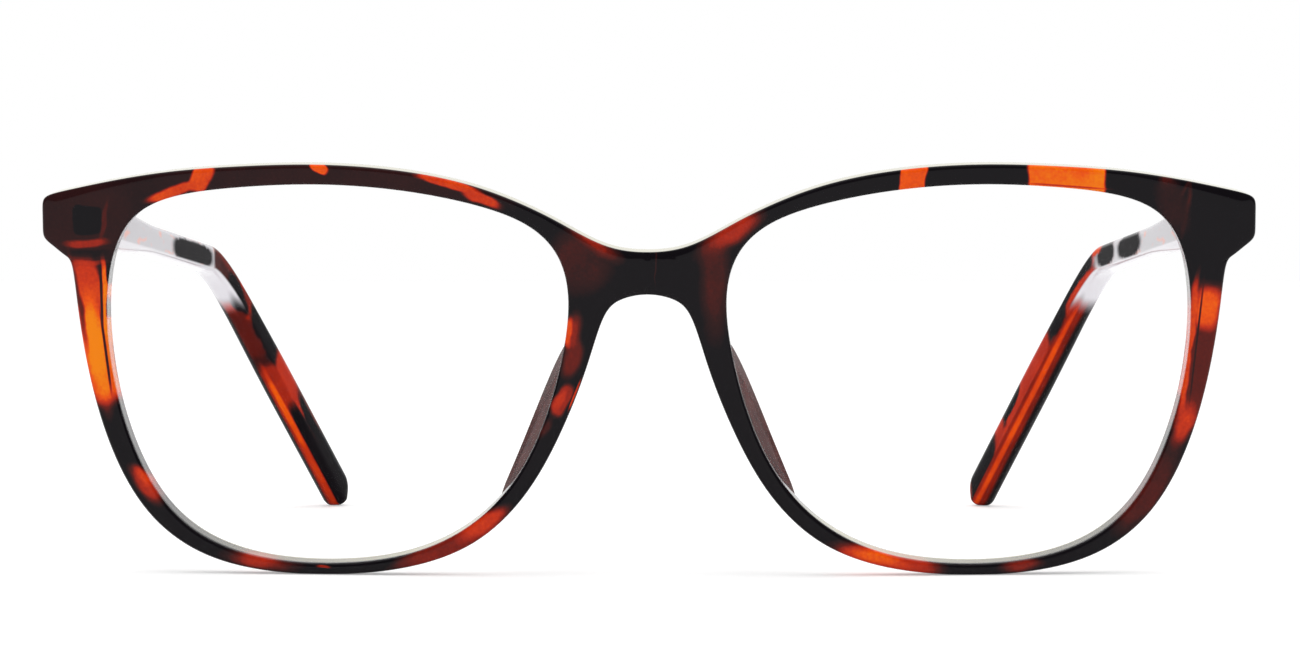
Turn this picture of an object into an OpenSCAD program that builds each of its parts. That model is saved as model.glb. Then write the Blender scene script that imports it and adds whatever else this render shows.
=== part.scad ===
// Full-rim spectacles with folding temples: a moulded front, two lenses, two glued nose pads,
// three-knuckle hinges, and temples with a wire core.
// +X is the wearer's left, +Y runs back along the temples, +Z is up, and Z = 0 is the table.
// Names use the wearer's side.

/* [Front] */
// Width of each lens opening
eye_w = 52.8; // [48:0.1:57]
// Height of each lens opening
eye_h = 43.2; // [38:0.1:48]
// Gap between the two lens openings
bridge_w = 17.9; // [15:0.1:21]
// Reach of the end piece beyond the lens opening
end_reach = 7.4; // [6.9:0.1:9]
// Height of the end piece at its outer side
end_h = 5.1; // [4.8:0.1:6]
// Fall from the top of the brow to the end piece's upper corner
end_drop = 4.0; // [3:0.1:5]
// Width of the bevel on the end piece's outer edge
end_bevel = 0.45; // [0.2:0.05:0.8]
// Width of the rim above the lens
rim_top = 2.25; // [1.8:0.05:3.4]
// Width of the rim beside the lens
rim_side = 2.7; // [2.2:0.1:3.4]
// Width of the rim at the two lower corners
rim_corner = 2.4; // [1.8:0.1:3.2]
// Width of the rim under the lens
rim_bottom = 1.4; // [1.2:0.05:2.6]
// Width of the rim beside the nose
rim_nose = 2.1; // [1.8:0.1:2.8]
// Fall from the top of the brow to the middle of the bridge
saddle_drop = 9.7; // [8:0.1:11]
// Height of the bridge at its middle
bridge_h = 4.8; // [4:0.1:6]
// Thickness of the front
front_t = 4.0; // [3.4:0.1:4.6]
// Radius of the front's curve, seen from above
face_r = 330; // [280:5:400]
// Lean of the front, with its top forward
front_tilt = 6; // [4:0.5:9]
// Depth of the flats on which the rims and the temple ends stand
rest_flat = 0.1; // [0.05:0.05:0.2]

/* [Lenses] */
// Thickness of the lens
lens_t = 1.9; // [1.5:0.1:2.2]
// Distance from the front's face to the lens groove
groove_setback = 1.3; // [1:0.1:1.6]
// Width of the lens groove
groove_w = 1.1; // [0.8:0.1:1.4]
// Depth of the lens groove
groove_depth = 0.6; // [0.4:0.05:0.8]
// Play of the lens in its groove and in its opening
lens_play = 0.05; // [0.03:0.01:0.08]

/* [Nose pads] */
// Length of the pad along the rim
pad_len = 19.5; // [16:0.5:20.5]
// Height of the pad's middle above the foot of the front
pad_height = 18; // [16.5:0.5:19]
// Reach of the pad behind the front
pad_depth = 5.8; // [4:0.2:7]
// Thickness of the pad at its back edge
pad_t = 1.7; // [1.4:0.1:2.2]
// Splay of the pad away from the nose
pad_splay = 19; // [14:1:26]
// Thickness of the glue between the pad and the rim
glue_t = 0.05; // [0.03:0.01:0.08]

/* [Hinges] */
// Distance from the front's back face to the hinge axis
hinge_back = 4.4; // [4.2:0.1:5.4]
// Distance from the end piece's outer side to the hinge axis
hinge_inset = 4.8; // [4.6:0.1:5.2]
// Fall from the middle of the end piece's side to the middle of the hinge
hinge_drop = 1.5; // [1.2:0.1:1.9]
// Diameter of the hinge knuckles
knuckle_d = 2.6; // [2.4:0.1:2.8]
// Height of all three knuckles together
hinge_h = 3.6; // [3.4:0.1:4]
// Gap between two knuckles
knuckle_gap = 0.06; // [0.05:0.01:0.1]
// Diameter of the hinge screw
screw_d = 1.3; // [1.2:0.05:1.4]
// Running clearance round the hinge screw
screw_play = 0.03; // [0.02:0.01:0.05]
// Diameter of the hinge screw's head
head_d = 2.1; // [1.9:0.1:2.4]
// Height of the hinge screw's head
head_h = 0.5; // [0.4:0.05:0.7]
// Width of the slot in the hinge screw's head
slot_w = 0.3; // [0.2:0.05:0.4]
// Width of the web between a knuckle and its foot
web_w = 1.2; // [1:0.1:1.5]
// Width of the hinge feet, inside the plastic
foot_w = 2.0; // [1.6:0.1:2.2]
// Height of the hinge feet
foot_h = 3.2; // [2.8:0.1:3.4]
// Depth of the foot in the end piece
front_foot_len = 3.4; // [2.8:0.1:3.8]
// Length of the foot in the temple
temple_foot_len = 7; // [5:0.5:9]
// Play of the feet and of the wire core in the plastic
fit_play = 0.04; // [0.03:0.01:0.06]

/* [Temples] */
// Length of the temple from the hinge axis to its bend
arm_len = 77; // [67:1:87]
// Radius of the bend over the ear
bend_r = 29; // [22:1:36]
// Angle of the bend
bend_angle = 41; // [36:1:46]
// Fall of the temple from the horizontal
droop = 2.8; // [2:0.1:4]
// Lean of the temple towards the head
toe_angle = 1.9; // [1:0.1:3]
// Lean of the temple's end towards the head
end_lean = 14.5; // [10:0.5:17]
// Height of the temple at the hinge
root_h = 5.4; // [5:0.1:5.8]
// Thickness of the temple at the hinge
root_t = 5.2; // [5:0.1:5.6]
// Height of the temple at its slimmest
mid_h = 3.5; // [3:0.1:4]
// Thickness of the temple at its slimmest
mid_t = 3.2; // [2.8:0.1:3.6]
// Length over which the temple grows slim behind the hinge
taper_len = 34; // [26:1:42]
// Height of the temple's end behind the ear
tip_h = 5.4; // [4.4:0.1:6]
// Thickness of the temple's end
tip_t = 3.3; // [2.9:0.1:3.6]
// Corner radius of the temple's section
section_r = 0.8; // [0.5:0.05:1]
// Growth of the section's corner radius towards the temple's end
tip_r = 0.4; // [0:0.05:0.6]
// Gap between the temple's end face and the end piece
mitre_gap = 0.15; // [0.1:0.05:0.3]
// Diameter of the wire core
core_d = 1.2; // [1:0.1:1.4]
// Distance from the end of the wire core to the end of the temple
core_short = 9; // [7:1:14]

/* [Hidden] */
$fn = 48;

shell_colour = [0.17, 0.07, 0.05];
amber_colour = [0.62, 0.22, 0.07];
lens_colour = [0.88, 0.93, 0.95, 0.35];
metal_colour = [0.72, 0.70, 0.66];

// Points drawn beside each mark of an outline.
curve_steps = 4;

// Size of the room in which the whole object stands, and of shapes that pass right through it.
room = 200;

// Marks of the opening's outline as shares of its half width and half height, clockwise from the
// top. The line runs smoothly inside them.
eye_shape = [
    [0.085, 1.01], [0.42, 0.985], [0.69, 0.945], [0.875, 0.85], [0.975, 0.645], [1.01, 0.335],
    [0.985, -0.025], [0.905, -0.39], [0.775, -0.7], [0.58, -0.9], [0.315, -0.995], [0.005, -1.01],
    [-0.3, -0.965], [-0.56, -0.825], [-0.765, -0.585], [-0.895, -0.27], [-0.975, 0.075],
    [-1.015, 0.395], [-0.975, 0.645], [-0.835, 0.815], [-0.585, 0.915], [-0.265, 0.985],
];
eye_x = (bridge_w + eye_w) / 2;
eye_y = rim_bottom + eye_h / 2;
eye_marks = [for (p = eye_shape) [eye_x + p[0] * eye_w / 2, eye_y + p[1] * eye_h / 2]];

brow_y = rim_bottom + eye_h + rim_top;
half_w = bridge_w / 2 + eye_w + end_reach;
saddle_y = brow_y - saddle_drop;
arch_y = saddle_y - bridge_h;
end_top = brow_y - end_drop;
end_low = end_top - end_h;

// A smooth closed line drawn by marks: a cubic B-spline.
function spline_point(a, b, c, d, t) =
    (pow(1 - t, 3) * a + (3 * pow(t, 3) - 6 * t * t + 4) * b
        + (-3 * pow(t, 3) + 3 * t * t + 3 * t + 1) * c + pow(t, 3) * d) / 6;
function smooth_line(marks) =
    let (n = len(marks))
    [for (i = [0 : n - 1], step = [0 : curve_steps - 1])
        spline_point(marks[(i + n - 1) % n], marks[i], marks[(i + 1) % n], marks[(i + 2) % n],
            step / curve_steps)];

// A closed clockwise line moved outwards.
function grown(line, out) =
    let (n = len(line))
    [for (i = [0 : n - 1])
        let (run = line[(i + 1) % n] - line[(i + n - 1) % n])
        line[i] + out * [-run[1], run[0]] / norm(run)];

// The mark of the rim's outer edge beside mark i of the opening.
function beside(i, width) =
    let (n = len(eye_marks),
         run = eye_marks[(i + 1) % n] - eye_marks[(i + n - 1) % n])
    eye_marks[i] + width * [-run[1], run[0]] / norm(run);

eye_line = smooth_line(eye_marks);

// Marks of the left half of the front's outline, from the middle of the bridge round to the arch
// over the nose: bridge, brow, end piece, rim and arch.
outer_marks = [
    [0, saddle_y - 0.005 * bridge_w],
    [0.25 * bridge_w, saddle_y + 0.02 * bridge_w],
    [0.5 * bridge_w, saddle_y + 0.16 * bridge_w],
    beside(19, 0.7 * rim_top), beside(20, 0.95 * rim_top), beside(21, rim_top),
    beside(0, rim_top), beside(1, 1.05 * rim_top), beside(2, 1.2 * rim_top),
    [half_w - 1.08 * end_reach, end_top + 0.38 * end_h],
    [half_w - 0.54 * end_reach, end_top + 0.2 * end_h],
    [half_w - 0.14 * end_reach, end_top + 0.07 * end_h],
    [half_w, end_top - 0.04 * end_h],
    [half_w, end_top - 0.3 * end_h],
    [half_w, end_low + 0.3 * end_h],
    [half_w, end_low + 0.06 * end_h],
    [half_w - 0.16 * end_reach, end_low - 0.1 * end_h],
    [half_w - 0.35 * end_reach, end_low - 0.33 * end_h],
    [half_w - 0.47 * end_reach, end_low - 0.4 * end_h],
    beside(5, 1.2 * rim_side), beside(6, rim_side), beside(7, 0.95 * rim_side),
    beside(8, rim_corner), beside(9, 0.8 * rim_corner),
    beside(10, rim_bottom), beside(11, 0.9 * rim_bottom), beside(12, rim_bottom),
    beside(13, 0.85 * rim_corner), beside(14, 0.8 * rim_corner),
    beside(15, rim_nose), beside(16, 1.4 * rim_nose),
    [0.28 * bridge_w, arch_y - 0.1 * bridge_w],
    [0.17 * bridge_w, arch_y - 0.02 * bridge_w],
    [0, arch_y + 0.015 * bridge_w],
];
last_mark = len(outer_marks) - 1;
front_line = smooth_line(concat(outer_marks,
    [for (i = [last_mark - 1 : -1 : 1]) [-outer_marks[i][0], outer_marks[i][1]]]));
half_line = [for (i = [0 : last_mark * curve_steps]) front_line[i]];

// Depth of the front's face behind its foremost line, at a distance x from the middle.
function face_sag(x) = face_r - sqrt(face_r * face_r - x * x);

// Height and depth of the front's own origin: its lowest point is cut by the table, and its
// foremost point has depth zero.
function leaning_height(p) = p[1] * cos(front_tilt) + face_sag(p[0]) * sin(front_tilt);
front_lift = -rest_flat - min([for (p = half_line) leaning_height(p)]);
front_foot = -min([for (p = half_line) face_sag(p[0]) * cos(front_tilt) - p[1] * sin(front_tilt)]);

// The hinge axis in the front's own frame, and in the row.
hinge_x = half_w - hinge_inset;
hinge_v = (end_top + end_low) / 2 - hinge_drop;
hinge_w = face_sag(hinge_x) + front_t + hinge_back;
hinge_y = front_foot - hinge_v * sin(front_tilt) + hinge_w * cos(front_tilt);
hinge_z = front_lift + hinge_v * cos(front_tilt) + hinge_w * sin(front_tilt);

knuckle_r = knuckle_d / 2;
pin_r = screw_d / 2;
bore_r = pin_r + screw_play;
knuckle_h = (hinge_h - 2 * knuckle_gap) / 3;
knuckle_rise = knuckle_h + knuckle_gap;

// The joint between end piece and temple, seen along the hinge axis: the plastic stands clear
// of the knuckles, and the end faces meet just in front of the axis.
knuckle_room = 0.2;
mitre_y = -0.4;
notch_x = knuckle_r + knuckle_room;
front_notch = 2.7;
temple_notch = 2.2;
front_plate = knuckle_r + 0.3;
temple_plate = knuckle_r + 0.55;
inner_face = 2.3;
outer_face = root_t - inner_face;

// The temple's middle line, in its own frame: straight, then bent down and leaning inwards.
bend_len = bend_r * bend_angle * PI / 180;
lean = tan(end_lean);
function line_y(s) = s < arm_len ? s
    : s < arm_len + bend_len ? arm_len + bend_r * sin((s - arm_len) / bend_len * bend_angle)
    : arm_len + bend_r * sin(bend_angle) + (s - arm_len - bend_len) * cos(bend_angle);
function line_z(s) = s < arm_len ? 0
    : s < arm_len + bend_len ? -bend_r * (1 - cos((s - arm_len) / bend_len * bend_angle))
    : -bend_r * (1 - cos(bend_angle)) - (s - arm_len - bend_len) * sin(bend_angle);
function line_x(s) = s < arm_len ? 0
    : s < arm_len + bend_len ? -lean * pow(s - arm_len, 2) / (2 * bend_len)
    : -lean * (s - arm_len - bend_len / 2);
function line_fall(s) = bend_angle * min(1, max(0, (s - arm_len) / bend_len));
function line_lean(s) = end_lean * min(1, max(0, (s - arm_len) / bend_len));

// Soft step from 0 to 1.
function ease(t) = let (u = min(1, max(0, t))) u * u * (3 - 2 * u);
function temple_t(s) = s < arm_len ? root_t + (mid_t - root_t) * ease(s / taper_len)
    : mid_t + (tip_t - mid_t) * ease((s - arm_len) / bend_len);
function temple_h(s) = s < arm_len ? root_h + (mid_h - root_h) * ease(s / taper_len)
    : mid_h + (tip_h - mid_h) * ease((s - arm_len) / (1.8 * bend_len));

// The round end: how much of its height and thickness is left at a distance from the end.
tip_round = tip_h / 2;
function tip_share(left) = left < tip_round ? sqrt(max(0.02, 1 - pow(1 - left / tip_round, 2))) : 1;

// A point of the temple's section at s, u outwards from the inner face and w upwards.
function section_point(s, u, w) =
    let (a = line_fall(s), b = line_lean(s))
    [line_x(s) + u * cos(b), line_y(s) + u * sin(b) * cos(a) + w * sin(a),
     line_z(s) - u * sin(b) * sin(a) + w * cos(a)];

// The temple's section: a rectangle with round corners.
corner_steps = 4;
function temple_ring(s, total) =
    let (share = tip_share(total - s),
         t = temple_t(s) / 2,
         a = t * sqrt(share),
         b = temple_h(s) / 2 * share,
         r = min(section_r + tip_r * ease((s - arm_len) / bend_len), 0.9 * a, 0.9 * b))
    [for (side = [[1, 1, 0], [-1, 1, 90], [-1, -1, 180], [1, -1, 270]], step = [0 : corner_steps])
        let (q = side[2] + 90 * step / corner_steps)
        section_point(s, t - inner_face + side[0] * (a - r) + r * cos(q),
            side[1] * (b - r) + r * sin(q))];

// Row coordinates of a point given in the left temple's frame, before the row is centred.
function turn_x(p, a) = [p[0], p[1] * cos(a) - p[2] * sin(a), p[1] * sin(a) + p[2] * cos(a)];
function turn_z(p, a) = [p[0] * cos(a) - p[1] * sin(a), p[0] * sin(a) + p[1] * cos(a), p[2]];
function from_temple(p) = [hinge_x, hinge_y, hinge_z] + turn_x(turn_z(p, toe_angle), -droop);

// Length of the straight end that brings its lowest point just under the table's surface.
function tip_stations(total) = [for (step = [0 : 6]) total - tip_round * (1 - sin(15 * step))];
function tip_low(drop) =
    let (total = arm_len + bend_len + drop)
    min([for (s = tip_stations(total)) for (p = temple_ring(s, total)) from_temple(p)[2]]);
drop_guess = 38;
guess_low = tip_low(drop_guess);
drop_len = drop_guess + (guess_low + rest_flat) / (guess_low - tip_low(drop_guess + 1));
line_len = arm_len + bend_len + drop_len;
temple_start = -2;

// The row's origin is under the middle of the object.
tip_back = max([for (s = tip_stations(line_len)) for (p = temple_ring(s, line_len)) from_temple(p)[1]]);
middle_y = tip_back / 2;

// Puts a shape drawn in the front's own frame into the row: X across, Y up the front, Z forward.
module in_front() {
    translate([0, front_foot - middle_y, front_lift]) rotate([90 + front_tilt, 0, 0]) children();
}

// Puts a shape drawn round the left hinge's axis into the row: Y back, Z along the axis.
module at_hinge() {
    in_front() translate([hinge_x, hinge_v, -hinge_w]) rotate([-90, 0, 0]) children();
}

// The same for the temple, which falls and leans towards the head.
module at_temple() {
    at_hinge() rotate([-front_tilt - droop, 0, 0]) rotate([0, 0, toe_angle]) children();
}

// A post along the front's height, which fills all that lies behind a face set back from the front's.
module behind_face(setback) {
    translate([0, -room / 2, -face_r]) rotate([-90, 0, 0])
        cylinder(h = room, r = face_r - setback, $fn = 180);
}

// A prism of an outline, from behind all of the front to just before its face.
module prism(line) {
    deep = face_sag(half_w) + 2 * front_t;
    translate([0, 0, -deep]) linear_extrude(height = deep + 1) polygon(line);
}

// A plate of the front's curve, from one depth behind its face to another.
module curved_plate(line, from, to) {
    difference() {
        intersection() {
            prism(line);
            behind_face(from);
        }
        behind_face(to);
    }
}

// A tube or bar through rings of equally many points.
module skin(rings) {
    n = len(rings[0]);
    last = len(rings) - 1;
    polyhedron(
        points = [for (ring = rings) for (p = ring) p],
        faces = concat(
            [[for (i = [n - 1 : -1 : 0]) i]],
            [for (k = [0 : last - 1], i = [0 : n - 1])
                each [[k * n + i, k * n + (i + 1) % n, (k + 1) * n + (i + 1) % n],
                      [k * n + i, (k + 1) * n + (i + 1) % n, (k + 1) * n + i]]],
            [[for (i = [0 : n - 1]) last * n + i]]));
}

// Everything above the table.
module above_table() {
    intersection() {
        children();
        translate([-room / 2, -room / 2, 0]) cube(room);
    }
}

module both_sides() {
    children();
    mirror([1, 0, 0]) children();
}

// The block behind the end piece that carries the hinge and meets the temple's end face. Its
// root lies well inside the end piece.
block_root = hinge_back + 0.75 * front_t;
block_side = hinge_inset - end_bevel;
module end_block() {
    at_hinge() translate([0, 0, -root_h / 2]) linear_extrude(height = root_h) polygon([
        [-inner_face, -block_root], [-inner_face, -front_notch], [notch_x, -front_notch],
        [notch_x, mitre_y], [outer_face, mitre_y], [block_side, -hinge_back],
        [block_side, -block_root],
    ]);
}

// All that the front hides from straight ahead.
module front_shadow() {
    translate([0, room / 2, front_lift]) rotate([90, 0, 0]) linear_extrude(height = room)
        polygon([for (p = front_line) [p[0], leaning_height(p)]]);
}

// A hinge foot, grown by a play on every side but its open end; dir is 1 to the back, -1 to the front.
module foot(dir, start, length, play) {
    w = foot_w / 2 + play;
    h = foot_h / 2 + play;
    near = dir * start;
    far = dir * (length + play);
    translate([-w, min(near, far), -h]) cube([2 * w, abs(far - near), 2 * h]);
}

// What the bevel takes off the outer edge of the end piece's face.
module bevel_cut() {
    bar = 4 * end_bevel;
    translate([half_w, end_low - end_h / 2, -face_sag(half_w)]) rotate([0, 45, 0])
        translate([-bar / 2, 0, -end_bevel * sqrt(0.5)]) cube([bar, 2 * end_h, bar]);
}

module frame_front() {
    color(shell_colour) above_table() difference() {
        union() {
            in_front() curved_plate(front_line, 0, front_t);
            intersection() {
                both_sides() end_block();
                front_shadow();
            }
        }
        both_sides() {
            in_front() {
                prism(eye_line);
                curved_plate(grown(eye_line, groove_depth), groove_setback, groove_setback + groove_w);
                bevel_cut();
            }
            at_hinge() foot(-1, front_plate, front_notch + front_foot_len, fit_play);
        }
    }
}

lens_middle = groove_setback + groove_w / 2;
module left_lens() {
    color(lens_colour) in_front() {
        curved_plate(grown(eye_line, -lens_play), lens_middle - lens_t / 2, lens_middle + lens_t / 2);
        curved_plate(grown(eye_line, groove_depth - lens_play),
            groove_setback + lens_play, groove_setback + groove_w - lens_play);
    }
}
module right_lens() mirror([1, 0, 0]) left_lens();

// The rim's edges beside the nose, as height and distance from the middle.
lens_side = [for (i = [13 * curve_steps : 17 * curve_steps]) [eye_line[i][1], eye_line[i][0]]];
nose_side = [for (i = [27 * curve_steps : 31 * curve_steps]) [front_line[i][1], front_line[i][0]]];
pad_edge = 0.3;
pad_bulge = 0.15;
function pad_ring(q) =
    let (v = pad_height + q * pad_len / 2,
         share = sqrt(1 - q * q),
         inner = lookup(v, nose_side) + pad_edge,
         outer = lookup(v, lens_side) - pad_edge,
         root = (outer - inner) / 2 * min(1, 0.3 + share),
         near = (inner + outer) / 2 - root,
         far = (inner + outer) / 2 + root,
         back = face_sag(far) + front_t + glue_t,
         r = pad_t / 2 * (0.5 + 0.5 * share),
         reach = max(r, pad_depth * share - r),
         x = (near + far) / 2 + reach * tan(pad_splay))
    [[near, v, -back], [(near + x - r) / 2 + pad_bulge, v, -back - reach / 2],
     for (a = [180 : -36 : 0]) [x + r * cos(a), v, -back - reach - r * sin(a)],
     [(far + x + r) / 2 - pad_bulge, v, -back - reach / 2], [far, v, -back]];

module left_nose_pad() {
    color(amber_colour) in_front() skin([for (a = [-84 : 12 : 84]) pad_ring(sin(a))]);
}
module right_nose_pad() mirror([1, 0, 0]) left_nose_pad();

module knuckle() {
    difference() {
        union() {
            cylinder(h = knuckle_h, r = knuckle_r, center = true);
            children();
        }
        cylinder(h = hinge_h, r = bore_r, center = true);
    }
}

module left_front_hinge_leaf() {
    color(metal_colour) at_hinge() {
        for (side = [-1, 1]) translate([0, 0, side * knuckle_rise]) knuckle()
            translate([-web_w / 2, -front_notch, -knuckle_h / 2]) cube([web_w, front_notch, knuckle_h]);
        foot(-1, front_plate, front_notch + front_foot_len, 0);
    }
}
module right_front_hinge_leaf() mirror([1, 0, 0]) left_front_hinge_leaf();

module left_temple_hinge_leaf() {
    color(metal_colour) {
        at_hinge() knuckle()
            translate([-web_w / 2, 0, -knuckle_h / 2]) cube([web_w, temple_plate + 1, knuckle_h]);
        at_temple() foot(1, temple_plate, temple_foot_len, 0);
    }
}
module right_temple_hinge_leaf() mirror([1, 0, 0]) left_temple_hinge_leaf();

module left_hinge_screw() {
    color(metal_colour) at_hinge() {
        translate([0, 0, -hinge_h / 2]) cylinder(h = hinge_h, r = pin_r);
        translate([0, 0, hinge_h / 2]) difference() {
            cylinder(h = head_h, r = head_d / 2);
            translate([-head_d, -slot_w / 2, head_h / 2]) cube([2 * head_d, slot_w, head_h]);
        }
    }
}
module right_hinge_screw() mirror([1, 0, 0]) left_hinge_screw();

temple_stations = concat(
    [temple_start], [for (i = [0 : 8]) i * taper_len / 8],
    [for (i = [0 : 12]) arm_len + i * bend_len / 12],
    [for (i = [1 : 5]) arm_len + bend_len + i * (drop_len - tip_round) / 6],
    tip_stations(line_len));

// A round bar along the middle of the temple.
core_start = temple_foot_len + 1;
module core_bar(r, play) {
    stations = concat([core_start - play],
        [for (i = [0 : 12]) arm_len + i * bend_len / 12],
        [line_len - core_short + play]);
    skin([for (s = stations)
        [for (q = [0 : 30 : 330])
            section_point(s, temple_t(s) / 2 - inner_face + r * cos(q), r * sin(q))]]);
}

module left_temple() {
    color(shell_colour) above_table() difference() {
        at_temple() skin([for (s = temple_stations) temple_ring(s, line_len)]);
        at_hinge() {
            translate([-room / 2, mitre_y + mitre_gap - room, -root_h]) cube([room, room, 2 * root_h]);
            translate([notch_x - room, temple_notch - room, -root_h]) cube([room, room, 2 * root_h]);
        }
        at_temple() {
            foot(1, temple_plate, temple_foot_len, fit_play);
            core_bar(core_d / 2 + fit_play, fit_play);
        }
    }
}
module right_temple() mirror([1, 0, 0]) left_temple();

module left_temple_core() {
    color(metal_colour) at_temple() core_bar(core_d / 2, 0);
}
module right_temple_core() mirror([1, 0, 0]) left_temple_core();

frame_front();
left_lens();
right_lens();
left_nose_pad();
right_nose_pad();
left_front_hinge_leaf();
right_front_hinge_leaf();
left_temple_hinge_leaf();
right_temple_hinge_leaf();
left_hinge_screw();
right_hinge_screw();
left_temple();
right_temple();
left_temple_core();
right_temple_core();
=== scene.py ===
"""Looks of a pair of tortoiseshell glasses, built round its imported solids.

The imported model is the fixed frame. The moulded front, the lenses, the nose pads and the temples
are made again here as smooth meshes in the same places; the hinges, screws and wire cores are
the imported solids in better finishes. Sizes are in millimetres until a mesh is written.
"""

import logging
import math
from dataclasses import dataclass, field
from enum import Enum

import bmesh
import bpy
import numpy as np
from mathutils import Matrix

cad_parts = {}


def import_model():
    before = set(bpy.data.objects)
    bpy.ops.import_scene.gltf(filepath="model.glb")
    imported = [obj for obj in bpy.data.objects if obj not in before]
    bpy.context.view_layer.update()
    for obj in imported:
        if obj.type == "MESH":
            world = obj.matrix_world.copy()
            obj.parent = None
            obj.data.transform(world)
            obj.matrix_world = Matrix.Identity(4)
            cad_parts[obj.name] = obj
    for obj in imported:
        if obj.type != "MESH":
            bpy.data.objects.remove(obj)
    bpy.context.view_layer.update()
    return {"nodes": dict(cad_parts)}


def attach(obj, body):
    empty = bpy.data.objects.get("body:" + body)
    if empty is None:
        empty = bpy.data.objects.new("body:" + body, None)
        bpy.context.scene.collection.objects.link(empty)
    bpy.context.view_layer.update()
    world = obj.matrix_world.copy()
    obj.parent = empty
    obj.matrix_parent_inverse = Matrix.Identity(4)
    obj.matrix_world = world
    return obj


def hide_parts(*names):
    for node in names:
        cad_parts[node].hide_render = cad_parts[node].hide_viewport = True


LOG = logging.getLogger("glasses")
MM = 0.001
# Points nearer than this become one.
MERGE = 0.002
# Attribute with a temple's unbent places, in millimetres.
LAID_OUT = "laid_out"

Mark = tuple[float, float]
Span = tuple[float, float]
Triple = tuple[float, float, float]
Face = tuple[int, ...]
Thing = bpy.types.Object
Output = bpy.types.NodeSocket
Inputs = dict[str | int, object]


class Side(Enum):
    """The wearer's side a piece belongs to; the value is the sign of its X."""

    LEFT = 1
    RIGHT = -1

    def named(self, what: str) -> str:
        """Name of a piece on this side."""
        return f"{self.name.lower()}_{what}"

    def placed(self, points: np.ndarray) -> np.ndarray:
        """Move points given for the left side to this side."""
        return points * [self.value, 1, 1]


class Slot(Enum):
    """Material slots."""

    TORTOISE = "tortoise"
    PAD = "pad"
    LENS = "lens"
    HINGE = "hinge_metal"
    WIRE = "wire"


class Cut(Enum):
    """What a cut with another object leaves."""

    OUTSIDE = "DIFFERENCE"
    INSIDE = "INTERSECT"


class Effect(Enum):
    """Effects that more than one finish uses, each a node group built once."""

    PATCH = "colour_patch"
    WOBBLE = "wobble"
    MOTTLE = "mottle"
    HANDLING = "handling_marks"


# Curves and meshes


def line_at(marks: np.ndarray, t: float) -> np.ndarray:
    """Point of the smooth closed line that an outline's marks draw, a cubic B-spline.

    Args:
        marks: The outline's marks, one row each.
        t: Place along the line, counted in marks.

    Returns:
        The point.
    """
    n, i, u = len(marks), math.floor(t), t - math.floor(t)
    a, b, c, d = (marks[(i + k) % n] for k in (-1, 0, 1, 2))
    near, far = 3 * u**3 - 6 * u * u + 4, -3 * u**3 + 3 * u * u + 3 * u + 1
    return ((1 - u) ** 3 * a + near * b + far * c + u**3 * d) / 6


def drawn_line(marks: np.ndarray, start: float, end: float, step: float) -> np.ndarray:
    """Points of an outline's line at even steps between two places along it."""
    return np.array([line_at(marks, t) for t in np.arange(start, end + 1e-9, step)])


def outward(run: np.ndarray) -> np.ndarray:
    """Unit vectors out of a clockwise outline that runs in the given directions."""
    out = np.stack([-run[..., 1], run[..., 0]], -1)
    return out / np.linalg.norm(run, axis=-1, keepdims=True)


def soft_step(t: float) -> float:
    """Soft step from 0 to 1."""
    u = min(1.0, max(0.0, t))
    return u * u * (3 - 2 * u)


def distance_to_line(points: np.ndarray, line: np.ndarray) -> np.ndarray:
    """Distance of flat points from a line of straight stretches.

    Args:
        points: The points, one row each.
        line: The line's corners, one row each.

    Returns:
        One distance for each point.
    """
    start, run = line[:-1], line[1:] - line[:-1]
    t = ((points[:, None] - start) * run).sum(-1) / np.maximum((run * run).sum(-1), 1e-12)
    foot = start + np.clip(t, 0, 1)[..., None] * run
    return np.linalg.norm(points[:, None] - foot, axis=-1).min(1)


def mesh_object(name: str, points: np.ndarray, faces: list[Face]) -> Thing:
    """Make an object of points in millimetres, with merged corners.

    Args:
        name: The object's name.
        points: Points in the row's frame, one row each.
        faces: Corners of each face.

    Returns:
        The new object, linked to the scene.
    """
    mesh = bpy.data.meshes.new(name)
    mesh.from_pydata((points * MM).tolist(), [], faces)
    edit = bmesh.new()
    edit.from_mesh(mesh)
    bmesh.ops.remove_doubles(edit, verts=edit.verts, dist=MERGE * MM)
    bmesh.ops.recalc_face_normals(edit, faces=edit.faces)
    edit.to_mesh(mesh)
    edit.free()
    thing = bpy.data.objects.new(name, mesh)
    bpy.context.scene.collection.objects.link(thing)
    return thing


def grid_faces(rows: int, cols: int, start: int = 0) -> list[Face]:
    """Faces of a grid of points stored row by row, whose rows close on themselves.

    Args:
        rows: Number of rows.
        cols: Points in each row.
        start: Index of the grid's first point.

    Returns:
        The faces' corners.
    """
    faces = []
    for r in range(rows - 1):
        a, b = start + r * cols, start + (r + 1) * cols
        for c in range(cols):
            d = (c + 1) % cols
            faces.append((a + c, a + d, b + d, b + c))
    return faces


def skin(name: str, rings: list[np.ndarray]) -> Thing:
    """Make a bar through rings of equally many points, with closed ends.

    Args:
        name: The object's name.
        rings: The rings' points in the row's frame.

    Returns:
        The new object.
    """
    cols, points = len(rings[0]), np.concatenate(rings)
    ends = [tuple(range(cols)), tuple(range(len(points) - cols, len(points)))]
    return mesh_object(name, points, grid_faces(len(rings), cols) + ends)


def apply_modifiers(thing: Thing) -> None:
    """Keep what an object's modifiers make as its mesh, and take them off.

    Args:
        thing: The object.
    """
    bpy.context.view_layer.update()
    seen = thing.evaluated_get(bpy.context.evaluated_depsgraph_get())
    made = bpy.data.meshes.new_from_object(seen)
    thing.modifiers.clear()
    thing.data = made


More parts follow.
